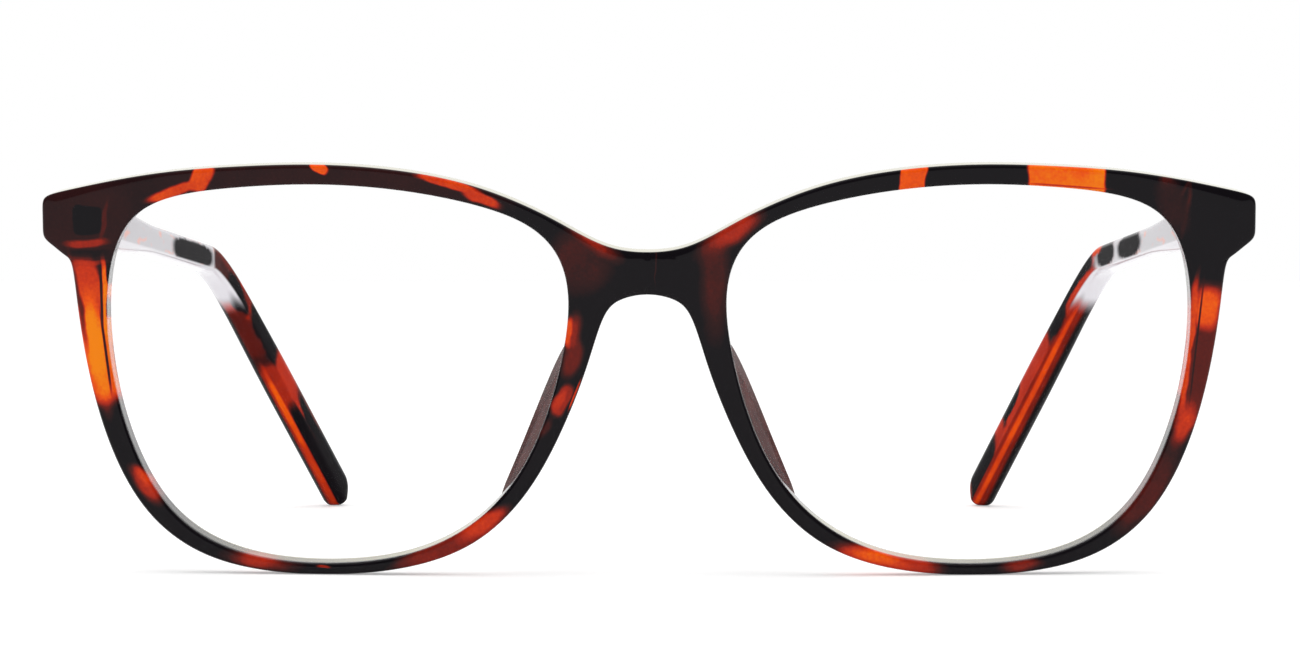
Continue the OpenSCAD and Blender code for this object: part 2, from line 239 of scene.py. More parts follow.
def cut_with(thing: Thing, tools: list[Thing], kept: Cut) -> None:
    """Cut an object with others, and throw those away.

    Args:
        thing: The object.
        tools: The objects that cut it.
        kept: What is left of it.
    """
    for tool in tools:
        change = thing.modifiers.new("cut", "BOOLEAN")
        change.object, change.operation, change.solver = tool, kept.value, "EXACT"
    apply_modifiers(thing)
    for tool in tools:
        bpy.data.objects.remove(tool)


def crisp_edges(thing: Thing, degrees: float) -> None:
    """Shade an object smooth, but keep its sharper edges.

    Args:
        thing: The object.
        degrees: Angle from which an edge is kept.
    """
    edit = bmesh.new()
    edit.from_mesh(thing.data)
    for edge in edit.edges:
        edge.smooth = len(edge.link_faces) == 2 and edge.calc_face_angle() < math.radians(degrees)
    for face in edit.faces:
        face.smooth = True
    edit.to_mesh(thing.data)
    edit.free()


# Finishes


class Graph:
    """Writes a node tree, one node at a time."""

    def __init__(self, tree: bpy.types.NodeTree) -> None:
        """Start with an empty tree."""
        self.tree = tree
        tree.nodes.clear()

    def node(self, kind: str, inputs: Inputs | None = None, **settings: object) -> bpy.types.Node:
        """Add a node.

        Args:
            kind: The node's type name.
            inputs: A value, or another node's output, for each input.
            settings: Properties of the node.

        Returns:
            The new node.
        """
        made = self.tree.nodes.new(kind)
        for key, value in settings.items():
            setattr(made, key, value)
        for key, value in (inputs or {}).items():
            if isinstance(value, Output):
                self.tree.links.new(value, made.inputs[key])
            else:
                made.inputs[key].default_value = value
        return made

    def maths(self, operation: str, *values: object, clamp: bool = False) -> Output:
        """Add a Math node and return its output."""
        given = dict(enumerate(values))
        return self.node("ShaderNodeMath", given, operation=operation, use_clamp=clamp).outputs[0]

    def both(self, a: object, b: object) -> Output:
        """Multiply two masks and return the output."""
        return self.maths("MULTIPLY", a, b)

    def either(self, a: object, b: object) -> Output:
        """Take the larger of two masks and return the output."""
        return self.maths("MAXIMUM", a, b)

    def vector(self, operation: str, *values: object) -> Output:
        """Add a Vector Math node and return its output."""
        given = dict(enumerate(values))
        return self.node("ShaderNodeVectorMath", given, operation=operation).outputs[0]

    def scaled(self, vector: object, share: object) -> Output:
        """Multiply a vector by a number and return the output."""
        given = {0: vector, "Scale": share}
        return self.node("ShaderNodeVectorMath", given, operation="SCALE").outputs[0]

    def split(self, vector: object) -> list[Output]:
        """Take a vector apart into its three numbers."""
        return list(self.node("ShaderNodeSeparateXYZ", {0: vector}).outputs)

    def blend(self, share: object, a: object, b: object) -> Output:
        """Mix two numbers and return the output."""
        return self.node("ShaderNodeMix", {0: share, 2: a, 3: b}, data_type="FLOAT").outputs[0]

    def tint(self, share: object, a: object, b: object) -> Output:
        """Mix two colours and return the output."""
        return self.node("ShaderNodeMix", {0: share, 6: a, 7: b}, data_type="RGBA").outputs[2]

    def soft(
        self, value: object, low: object, high: object, bottom: float = 0.0, top: float = 1.0
    ) -> Output:
        """Step softly from one number to another while a value goes from low to high."""
        given = {"Value": value, "From Min": low, "From Max": high, "To Min": bottom, "To Max": top}
        return self.node("ShaderNodeMapRange", given, interpolation_type="SMOOTHSTEP").outputs[0]

    def noise(self, place: object, scale: object, detail: float, output: str | int = 0) -> Output:
        """Add a noise texture and return its value or another output."""
        given = {"Vector": place, "Scale": scale, "Detail": detail}
        return self.node("ShaderNodeTexNoise", given).outputs[output]

    def facing(self) -> Output:
        """How far the surface turns away from the view: 0 is straight on, 1 is edge on."""
        return self.node("ShaderNodeLayerWeight", {"Blend": 0.5}).outputs["Facing"]

    def effect(self, effect: Effect, inputs: Inputs) -> bpy.types.bpy_prop_collection:
        """Place an effect's node group and return its outputs."""
        tree = bpy.data.node_groups[effect.value]
        return self.node("ShaderNodeGroup", inputs, node_tree=tree).outputs


VECTOR, FLOAT = "NodeSocketVector", "NodeSocketFloat"


def effect_group(
    effect: Effect, inputs: dict[str, float | None], outputs: dict[str, str]
) -> tuple[Graph, bpy.types.bpy_prop_collection]:
    """Make an empty node group with named sockets.

    Args:
        effect: The effect it holds.
        inputs: Default of each number it takes, or None for a vector.
        outputs: Type of each output.

    Returns:
        The graph to draw it with, and what it is given.
    """
    tree = bpy.data.node_groups.new(effect.value, "ShaderNodeTree")
    for name, value in inputs.items():
        kind = VECTOR if value is None else FLOAT
        socket = tree.interface.new_socket(name, in_out="INPUT", socket_type=kind)
        if value is not None:
            socket.default_value = value
    for name, kind in outputs.items():
        tree.interface.new_socket(name, in_out="OUTPUT", socket_type=kind)
    graph = Graph(tree)
    return graph, graph.node("NodeGroupInput").outputs


def build_patch() -> None:
    """One rounded patch of colour: its mask is 1 inside and fades at its edge."""
    places: dict[str, float | None] = dict.fromkeys(("Place", "Centre", "Half Size"))
    graph, given = effect_group(
        Effect.PATCH, places | {"Angle": 0.0, "Edge": 0.2, "Squareness": 2.0}, {"Mask": FLOAT}
    )
    away = graph.vector("SUBTRACT", given["Place"], given["Centre"])
    turn = {"Vector": away, "Angle": graph.maths("MULTIPLY", given["Angle"], -1.0)}
    turned = graph.node("ShaderNodeVectorRotate", turn, rotation_type="Z_AXIS").outputs[0]
    share = graph.vector("ABSOLUTE", graph.vector("DIVIDE", turned, given["Half Size"]))
    raised = [graph.maths("POWER", part, given["Squareness"]) for part in graph.split(share)]
    total = graph.maths("ADD", graph.maths("ADD", raised[0], raised[1]), raised[2])
    length = graph.maths("POWER", total, graph.maths("DIVIDE", 1.0, given["Squareness"]))
    outer = graph.maths("ADD", given["Edge"], 1.0)
    inner = graph.maths("SUBTRACT", 1.0, given["Edge"])
    graph.node("NodeGroupOutput", {"Mask": graph.soft(length, outer, inner)})


def build_wobble() -> None:
    """A place moved by noise, so that patches get uneven edges."""
    graph, given = effect_group(
        Effect.WOBBLE, {"Place": None, "Scale": 0.5, "Amount": 1.0}, {"Place": VECTOR}
    )
    noise = graph.noise(given["Place"], given["Scale"], 1.5, "Color")
    centred = graph.vector("SUBTRACT", noise, (0.5, 0.5, 0.5))
    level = graph.vector("MULTIPLY", centred, (1.0, 1.0, 0.0))
    moved = graph.vector("ADD", given["Place"], graph.scaled(level, given["Amount"]))
    graph.node("NodeGroupOutput", {"Place": moved})


def build_mottle() -> None:
    """The uneven depth of colour in poured plastic: clouds with fine grain, about 0."""
    graph, given = effect_group(
        Effect.MOTTLE,
        {"Place": None, "Cloud Scale": 0.3, "Grain Scale": 3.0, "Grain Share": 0.3},
        {"Value": FLOAT},
    )
    cloud = graph.noise(given["Place"], given["Cloud Scale"], 3.0)
    grain = graph.noise(given["Place"], given["Grain Scale"], 2.0)
    both = graph.blend(given["Grain Share"], cloud, grain)
    graph.node("NodeGroupOutput", {"Value": graph.maths("SUBTRACT", both, 0.5)})


def build_handling() -> None:
    """Traces of hands on a polished surface: an uneven roughness and a faint ripple."""
    graph, given = effect_group(
        Effect.HANDLING,
        {"Place": None, "Roughness": 0.1, "Spread": 0.05, "Scale": 0.12},
        {"Roughness": FLOAT, "Height": FLOAT},
    )
    smear = graph.noise(given["Place"], given["Scale"], 5.0)
    uneven = graph.maths("MULTIPLY", graph.maths("SUBTRACT", smear, 0.5), given["Spread"])
    ripple = graph.noise(given["Place"], 0.5, 1.0)
    roughness = graph.maths("ADD", given["Roughness"], uneven, clamp=True)
    graph.node("NodeGroupOutput", {"Roughness": roughness, "Height": ripple})


class Surface(Graph):
    """Node tree of a material; where is the place on its surface, in millimetres."""

    def __init__(self, material: bpy.types.Material) -> None:
        """Start with the place on the surface."""
        super().__init__(material.node_tree)
        self.where = self.scaled(self.node("ShaderNodeTexCoord").outputs["Object"], 1 / MM)

    def mottle(self, clouds: float, grain: float, share: float) -> Output:
        """Add mottling, by the fineness of its clouds and of its grain, and the grain's share."""
        given = {"Cloud Scale": clouds, "Grain Scale": grain, "Grain Share": share}
        return self.effect(Effect.MOTTLE, {"Place": self.where, **given})[0]

    def hands(self, roughness: float, spread: float, scale: float) -> list[Output]:
        """Add traces of hands, and return the uneven roughness and the ripple's height."""
        given = {"Roughness": roughness, "Spread": spread, "Scale": scale}
        return list(self.effect(Effect.HANDLING, {"Place": self.where, **given}))

    def relief(self, height: Output, strength: float, depth: float) -> Output:
        """Add a relief, with its depth in millimetres, and return its normal."""
        given = {"Height": height, "Strength": strength, "Distance": depth * MM}
        return self.node("ShaderNodeBump", given).outputs[0]


@dataclass(frozen=True)
class Finish:
    """A finish, which each kind turns into the inputs of its shader."""

    name: str

    def inputs(self, surface: Surface) -> Inputs:
        """Make the inputs of the shader."""
        raise NotImplementedError

    def material(self) -> bpy.types.Material:
        """Make the material.

        Returns:
            The material.
        """
        material = bpy.data.materials.new(self.name)
        material.use_nodes = True
        surface = Surface(material)
        shader = surface.node("ShaderNodeBsdfPrincipled", self.inputs(surface))
        surface.node("ShaderNodeOutputMaterial", {0: shader.outputs[0]})
        return material


@dataclass(frozen=True)
class Patch:
    """A patch of the tortoiseshell.

    Attributes:
        x, y: Its centre in the pattern, in millimetres.
        long, wide: Its half length and half width.
        turn: Angle of its length, in degrees.
        glow: 0 for black, 0.5 for red, 1 for bright amber.
        edge: Softness of its edge, as a share of its size.
        square: 2 for an oval, more for a block.
        deep, thick: Its middle and half size through the plastic.
        steady: Whether its edge runs even.
    """

    x: float
    y: float
    long: float
    wide: float
    turn: float
    glow: float
    edge: float
    square: float = 2.0
    deep: float = 0.0
    thick: float = 9.0
    steady: bool = False

    def mask(self, surface: Surface, place: Output) -> Output:
        """Add the patch to a surface.

        Args:
            surface: The surface.
            place: Place in the pattern.

        Returns:
            The patch's mask.
        """
        shape = {
            "Place": place,
            "Centre": (self.x, self.y, self.deep),
            "Half Size": (self.long, self.wide, self.thick),
            "Angle": math.radians(self.turn),
            "Edge": self.edge,
            "Squareness": self.square,
        }
        return surface.effect(Effect.PATCH, shape)[0]


@dataclass(frozen=True)
class TortoiseFinish(Finish):
    """Polished plastic in near-black with amber and red patches, laid out over the front.

    A painted highlight turns its upward faces cream when they are seen edge on. A span that ends in
    facing, upward, along, depth, height or noise runs from where a mask is 0 to where it is 1.

    Attributes:
        patches: The patches, each laid over those before it.
        ground: Glow between them.
        wobble, wobble_scale: Reach in millimetres, and fineness, of their uneven edges.
        roughness, gloss: Of the plastic under its coat.
        coat: Weight of the coat where the plastic is black, and where it is bright.
        mottle: Strength of the clouds in the same two places.
        shine: Colour of the painted highlight on upward faces seen edge on.
        glows: Colour of each glow.
    """

    patches: tuple[Patch, ...]
    ground: float = 0.02
    wobble: float = 0.9
    wobble_scale: float = 0.32
    roughness: float = 0.1
    gloss: float = 0.07
    coat: Span = (0.35, 0.3)
    mottle: Span = (0.1, 0.5)
    shine: Triple = (0.58, 0.55, 0.38)
    shine_facing: Span = (0.78, 0.9)
    shine_upward: Span = (0.6, 0.9)
    glows: tuple[tuple[float, Triple], ...] = (
        (0.0, (0.005, 0.0038, 0.0055)), (0.08, (0.006, 0.0042, 0.006)),
        (0.24, (0.034, 0.008, 0.008)), (0.42, (0.14, 0.011, 0.007)), (0.58, (0.42, 0.022, 0.008)),
        (0.7, (0.64, 0.038, 0.007)), (0.84, (0.92, 0.095, 0.004)), (1.0, (1.0, 0.25, 0.002)),
    )

    def place(self, surface: Surface) -> Output:
        """Lay the place on the surface out in the pattern, as X and Y."""
        across, _, up = surface.split(surface.where)
        return surface.node("ShaderNodeCombineXYZ", {0: across, 1: up}).outputs[0]

    def first_glow(self, surface: Surface, place: Output) -> object:
        """Glow of the plastic between the patches."""
        return self.ground

    def patched(self, surface: Surface, place: Output) -> tuple[object, object]:
        """Lay the patches over the ground.

        Args:
            surface: The surface.
            place: Place in the pattern.

        Returns:
            The glow, and how far patches cover the ground.
        """
        noise = {"Place": place, "Scale": self.wobble_scale, "Amount": self.wobble}
        uneven = surface.effect(Effect.WOBBLE, noise)[0]
        glow, cover = self.first_glow(surface, place), 0.0
        for patch in self.patches:
            mask = patch.mask(surface, place if patch.steady else uneven)
            glow = surface.blend(mask, glow, patch.glow)
            cover = surface.either(cover, mask)
        return glow, cover

    def colour(self, surface: Surface, glow: object) -> Output:
        """Turn a glow into the plastic's colour, with its clouds and grain.

        Args:
            surface: The surface.
            glow: The glow, from 0 to 1.

        Returns:
            The colour.
        """
        cloud = surface.mottle(0.25, 2.6, 0.35)
        depth = surface.maths("MULTIPLY", cloud, surface.blend(glow, *self.mottle))
        glow = surface.maths("ADD", glow, depth, clamp=True)
        ramp = surface.node("ShaderNodeValToRGB", {0: glow})
        stops = ramp.color_ramp.elements
        for at, _ in self.glows[1:-1]:
            stops.new(at)
        for stop, (_, colour) in zip(stops, self.glows):
            stop.color = (*colour, 1)
        return ramp.outputs[0]

    def shade(self, surface: Surface, place: Output) -> Inputs:
        """Make the inputs of the shader that depend on the pattern.

        Args:
            surface: The surface.
            place: Place in the pattern.

        Returns:
            The inputs.
        """
        glow, _ = self.patched(surface, place)
        # Painted highlight: upward faces seen edge on turn cream.
        up = surface.split(surface.node("ShaderNodeNewGeometry").outputs["Normal"])[2]
        edge_on = surface.soft(surface.facing(), *self.shine_facing)
        glare = surface.both(edge_on, surface.soft(up, *self.shine_upward))
        colour = surface.tint(glare, self.colour(surface, glow), (*self.shine, 1))
        return {"Base Color": colour, "Coat Weight": surface.blend(glow, *self.coat)}

    def inputs(self, surface: Surface) -> Inputs:
        """Make the inputs of the shader.

        Args:
            surface: The surface.

        Returns:
            The inputs.
        """
        roughness, ripple = surface.hands(self.roughness, 0.06, 0.12)
        return {
            "Roughness": roughness,
            "IOR": 1.49,
            "Specular IOR Level": self.gloss,
            "Coat Roughness": 0.06,
            "Coat IOR": 1.25,
            "Normal": surface.relief(ripple, 0.02, 0.5),
            **self.shade(surface, self.place(surface)),
        }


@dataclass(frozen=True)
class TempleFinish(TortoiseFinish):
    """Tortoiseshell of a temple, laid out along it.

    Seen edge on, its inner face is painted with a whitish reflection up to the bend, and its
    underside with one round the bend.

    Attributes:
        coat: Weight of the coat on the inner side, and on the outer side and top.
        reflection_zone_coat: Weight of the coat where the whitish reflection is painted.
            painted_reflection, reflection_blush: Colours of the inner face's painted reflection and
                of the spots in it.
        underside_reflection: Colour of the underside's painted reflection.
        cloud_stretch, blush_stretch: Fineness of the clouds and the spots in each direction.
        cloud_glow: Least and most glow of the clouds.
    """

    wobble: float = 0.8
    wobble_scale: float = 1.1
    gloss: float = 0.0
    coat: Span = (0.1, 0.5)
    reflection_zone_coat: float = 0.9
    painted_reflection: Triple = (0.56, 0.54, 0.58)
    reflection_blush: Triple = (0.85, 0.42, 0.36)
    underside_reflection: Triple = (0.9, 0.88, 0.93)
    cloud_stretch: Triple = (0.09, 0.22, 0.12)
    cloud_noise: Span = (0.44, 0.56)
    cloud_glow: Span = (0.03, 0.66)
    blush_stretch: Triple = (0.16, 0.7, 0.1)
    blush_noise: Span = (0.58, 0.72)
    face_along: Span = (83.0, 75.0)
    face_depth: Span = (0.7, 0.2)
    face_reflection_facing: Span = (0.55, 0.8)
    under_along: Span = (95.0, 90.0)
    under_height: Span = (-1.1, -1.45)
    under_reflection_facing: Span = (0.3, 0.5)
    outer_depth: Span = (1.8, 2.6)
    top_height: Span = (1.0, 1.5)

    def place(self, surface: Surface) -> Output:
        """Read the unbent place: along the temple, up, and deep from its inner face."""
        return surface.node("ShaderNodeAttribute", attribute_name=LAID_OUT).outputs["Vector"]

    def first_glow(self, surface: Surface, place: Output) -> object:
        """Glow of the plastic between the patches: clouds drawn out along the temple."""
        cloud = surface.noise(surface.vector("MULTIPLY", place, self.cloud_stretch), 1.0, 2.0)
        return surface.soft(cloud, *self.cloud_noise, *self.cloud_glow)

    def shade(self, surface: Surface, place: Output) -> Inputs:
        """Make the inputs of the shader that depend on the pattern.

        Args:
            surface: The surface.
            place: Place in the pattern.

        Returns:
            The inputs.
        """
        soft, both, either, tint = surface.soft, surface.both, surface.either, surface.tint
        glow, cover = self.patched(surface, place)
        along, height, depth = surface.split(place)
        # Painted reflection: seen edge on, the inner face up to the bend and the underside round
        # the bend turn whitish.
        face = both(soft(along, *self.face_along), soft(depth, *self.face_depth))
        under = both(soft(along, *self.under_along), soft(height, *self.under_height))
        reflection_zone = both(face, surface.maths("SUBTRACT", 1.0, cover))
        spots = surface.noise(surface.vector("MULTIPLY", place, self.blush_stretch), 1.0, 1.0)
        painted_reflection = tint(soft(spots, *self.blush_noise), (*self.painted_reflection, 1), (*self.reflection_blush, 1))
        painted_reflection = tint(under, painted_reflection, (*self.underside_reflection, 1))
        facing = surface.facing()
        face_reflection = both(reflection_zone, soft(facing, *self.face_reflection_facing))
        under_reflection = both(under, soft(facing, *self.under_reflection_facing))
        colour = tint(either(face_reflection, under_reflection), self.colour(surface, glow), painted_reflection)
        outside = either(soft(depth, *self.outer_depth), soft(height, *self.top_height))
        shine = both(either(reflection_zone, under), self.reflection_zone_coat)
        coat = either(shine, surface.blend(outside, *self.coat))
        return {"Base Color": colour, "Coat Weight": coat}


@dataclass(frozen=True)
class PadFinish(Finish):
    """Brown plastic of the nose pads, clearer than the front."""

    name: str = "pad_plastic"
    deep: Triple = (0.035, 0.01, 0.011)
    light: Triple = (0.12, 0.032, 0.028)
    roughness: float = 0.2

    def inputs(self, surface: Surface) -> Inputs:
        """Make the inputs of the shader.

        Args:
            surface: The surface.

        Returns:
            The inputs.
        """
        clouds = surface.maths("MULTIPLY", surface.mottle(0.5, 4.0, 0.25), 2.0)
        share = surface.maths("ADD", clouds, 0.5, clamp=True)
        return {
            "Base Color": surface.tint(share, (*self.deep, 1), (*self.light, 1)),
            "Roughness": surface.hands(self.roughness, 0.1, 0.4)[0],
            "IOR": 1.49,
            "Specular IOR Level": 0.03,
        }


@dataclass(frozen=True)
class LensFinish(Finish):
    """Clear coated lens.

    It mirrors next to nothing, casts no shadow and has the faintest uneven polish.
    """

    name: str = "clear_lens"
    ior: float = 1.06

    def inputs(self, surface: Surface) -> Inputs:
        """Make the inputs of the shader.

        Args:
            surface: The surface.

        Returns:
            The inputs.
        """
        shadow = surface.node("ShaderNodeLightPath").outputs["Is Shadow Ray"]
        return {
            "Base Color": (1, 1, 1, 1),
            "Roughness": surface.hands(0.0, 0.01, 0.2)[0],
            "IOR": self.ior,
            "Transmission Weight": 1.0,
            "Alpha": surface.maths("SUBTRACT", 1.0, shadow),
        }


@dataclass(frozen=True)
class MetalFinish(Finish):
    """Bare metal with fine drawing marks along one row axis."""

    colour: Triple
    roughness: float
    stretch: Triple
    shade: float = 0.8

    def inputs(self, surface: Surface) -> Inputs:
        """Make the inputs of the shader.

        Args:
            surface: The surface.

        Returns:
            The inputs.
        """
        drawn = surface.vector("MULTIPLY", surface.where, self.stretch)
        grain = surface.noise(drawn, 6.0, 2.0)
        dark = tuple(self.shade * part for part in self.colour)
        return {
            "Base Color": surface.tint(grain, (*dark, 1), (*self.colour, 1)),
            "Metallic": 1.0,
            "Roughness": surface.hands(self.roughness, 0.15, 1.0)[0],
            "Normal": surface.relief(grain, 0.15, 0.1),
        }


@dataclass(frozen=True)
class FloorFinish(Finish):
    """White floor that fades into the surroundings and keeps the shadow."""

    name: str = "floor_white"
    glow: float = 0.32

    def inputs(self, surface: Surface) -> Inputs:
        """Make the inputs of the shader.

        Args:
            surface: The surface.

        Returns:
            The inputs.
        """
        ray = surface.node("ShaderNodeLightPath").outputs
        mirrored = surface.either(ray["Is Glossy Ray"], ray["Is Transmission Ray"])
        seen = surface.either(ray["Is Camera Ray"], mirrored)
        return {
            "Base Color": (0.8, 0.8, 0.8, 1),
            "Roughness": surface.hands(0.6, 0.1, 0.01)[0],
            "Specular IOR Level": 0.1,
            "Emission Color": (1, 1, 1, 1),
            "Emission Strength": surface.both(seen, self.glow),
        }


def dress(thing: Thing, material: bpy.types.Material, slot: Slot) -> Thing:
    """Give an object its material.

    Args:
        thing: The object.
        material: Its material.
        slot: Its slot; not used.

    Returns:
        The object.
    """
    thing.data.materials.clear()
    thing.data.materials.append(material)
    return thing


# The object


@dataclass
class FrontLayout:
    """Lines of the front, in its own frame: X across, V up the front, W back from its face.

    The sizes are those of the part's source. How that frame stands in the row is given by tilt,
    foot, lift and middle_y.
    """

    eye_w: float = 52.8
    eye_h: float = 43.2
    bridge_w: float = 17.9
    end_reach: float = 7.4
    end_h: float = 5.1
    end_drop: float = 4.0
    rim_top: float = 2.25
    rim_side: float = 2.7
    rim_corner: float = 2.4
    rim_bottom: float = 1.4
    rim_nose: float = 2.1
    saddle_drop: float = 9.7
    bridge_h: float = 4.8
    front_t: float = 4.0
    face_r: float = 330.0
    tilt: float = 6.0
    foot: float = 4.1525
    lift: float = -0.3785
    middle_y: float = 69.497
    eye_shape: tuple[Mark, ...] = (
        (0.085, 1.01), (0.42, 0.985), (0.69, 0.945), (0.875, 0.85), (0.975, 0.645), (1.01, 0.335),
        (0.985, -0.025), (0.905, -0.39), (0.775, -0.7), (0.58, -0.9), (0.315, -0.995),
        (0.005, -1.01), (-0.3, -0.965), (-0.56, -0.825), (-0.765, -0.585), (-0.895, -0.27),
        (-0.975, 0.075), (-1.015, 0.395), (-0.975, 0.645), (-0.835, 0.815), (-0.585, 0.915),
        (-0.265, 0.985),
    )
    eye_marks: np.ndarray = field(init=False)
    outer_marks: np.ndarray = field(init=False)
    last: int = field(init=False)

    def __post_init__(self) -> None:
        """Work out the marks of the lens opening and of the whole front's outline."""
        centre = np.array([(self.bridge_w + self.eye_w) / 2, self.rim_bottom + self.eye_h / 2])
        self.eye_marks = centre + np.array(self.eye_shape) * [self.eye_w / 2, self.eye_h / 2]
        brow = self.rim_bottom + self.eye_h + self.rim_top
        side, top = self.bridge_w / 2 + self.eye_w + self.end_reach, brow - self.end_drop
        low, saddle = top - self.end_h, brow - self.saddle_drop
        arch = saddle - self.bridge_h
        gap, reach, high = self.bridge_w, self.end_reach, self.end_h
        half = [
            (0, saddle - 0.005 * gap),
            (0.25 * gap, saddle + 0.02 * gap),
            (0.5 * gap, saddle + 0.16 * gap),
            *self.beside(self.rim_top, (19, 0.7), (20, 0.95), (21, 1), (0, 1), (1, 1.05), (2, 1.2)),
            (side - 1.08 * reach, top + 0.38 * high),
            (side - 0.54 * reach, top + 0.2 * high),
            (side - 0.14 * reach, top + 0.07 * high),
            *((side, top - share * high) for share in (0.04, 0.3)),
            *((side, low + share * high) for share in (0.3, 0.06)),
            (side - 0.16 * reach, low - 0.1 * high),
            (side - 0.35 * reach, low - 0.33 * high),
            (side - 0.47 * reach, low - 0.4 * high),
            *self.beside(self.rim_side, (5, 1.2), (6, 1), (7, 0.95)),
            *self.beside(self.rim_corner, (8, 1), (9, 0.8)),
            *self.beside(self.rim_bottom, (10, 1), (11, 0.9), (12, 1)),
            *self.beside(self.rim_corner, (13, 0.85), (14, 0.8)),
            *self.beside(self.rim_nose, (15, 1), (16, 1.4)),
            (0.28 * gap, arch - 0.1 * gap),
            (0.17 * gap, arch - 0.02 * gap),
            (0, arch + 0.015 * gap),
        ]
        self.last = len(half) - 1
        self.outer_marks = np.array([*half, *((-x, v) for x, v in reversed(half[1:-1]))])

    def beside(self, width: float, *places: tuple[int, float]) -> list[np.ndarray]:
        """Marks of the rim's outer edge beside marks of the opening.

        Args:
            width: Width of the rim.
            places: Index of each mark of the opening, and the share of that width there.

        Returns:
            The marks.
        """
        eye, n = self.eye_marks, len(self.eye_marks)
        return [
            eye[i] + share * width * outward(eye[(i + 1) % n] - eye[(i - 1) % n])
            for i, share in places
        ]

    def sag(self, x: np.ndarray | float) -> np.ndarray | float:
        """Depth of the front's face behind its foremost line, at a distance from the middle."""
        return self.face_r - np.sqrt(self.face_r**2 - np.square(x))

    def in_row(self, x: np.ndarray, v: np.ndarray, w: np.ndarray) -> np.ndarray:
        """Place points of the front's own frame in the row.

        Args:
            x: Distances across.
            v: Heights up the front.
            w: Depths behind the foremost line.

        Returns:
            The points, one row each, not below the table.
        """
        a = math.radians(self.tilt)
        x, v, w = np.broadcast_arrays(x, v, w)
        y = self.foot - self.middle_y - v * math.sin(a) + w * math.cos(a)
        z = self.lift + v * math.cos(a) + w * math.sin(a)
        return np.stack([x, y, np.maximum(z, 0)], -1)

    def on_face(self, flat: np.ndarray, depth: np.ndarray | float) -> np.ndarray:
        """Place flat points in the row, at a depth behind the front's curved face."""
        return self.in_row(flat[:, 0], flat[:, 1], self.sag(flat[:, 0]) + depth)


@dataclass
class HingePlace:
    """Where the hinge axis stands, and the shape of the joint round it.

    The axis stands at x, v and w in the front's own frame. Names that end in x, y, face, side, root
    or waist are places seen along it.
    """

    layout: FrontLayout
    x: float = 64.35
    v: float = 38.8
    w: float = 14.735
    inner_face: float = 2.3
    outer_face: float = 2.9
    block_side: float = 4.35
    block_h: float = 5.4
    block_root: float = -6.6
    block_waist: float = -4.4
    notch_x: float = 1.5
    front_notch: float = 2.7
    temple_notch: float = 2.2
    mitre_y: float = -0.4
    mitre_gap: float = 0.15

    def in_row(self, points: np.ndarray) -> np.ndarray:
        """Place points round the left hinge's axis in the row: X out, Y back, Z up the axis."""
        x, y, z = points.T
        return self.layout.in_row(self.x + x, self.v + z, self.w + y)

    def prism(self, name: str, outline: list[Mark], low: float, high: float, side: Side) -> Thing:
        """Make a prism along the hinge's axis: its outline is seen along it, from low to high."""
        ends = [np.array([(x, y, z) for x, y in outline]) for z in (low, high)]
        return skin(name, [side.placed(self.in_row(end)) for end in ends])


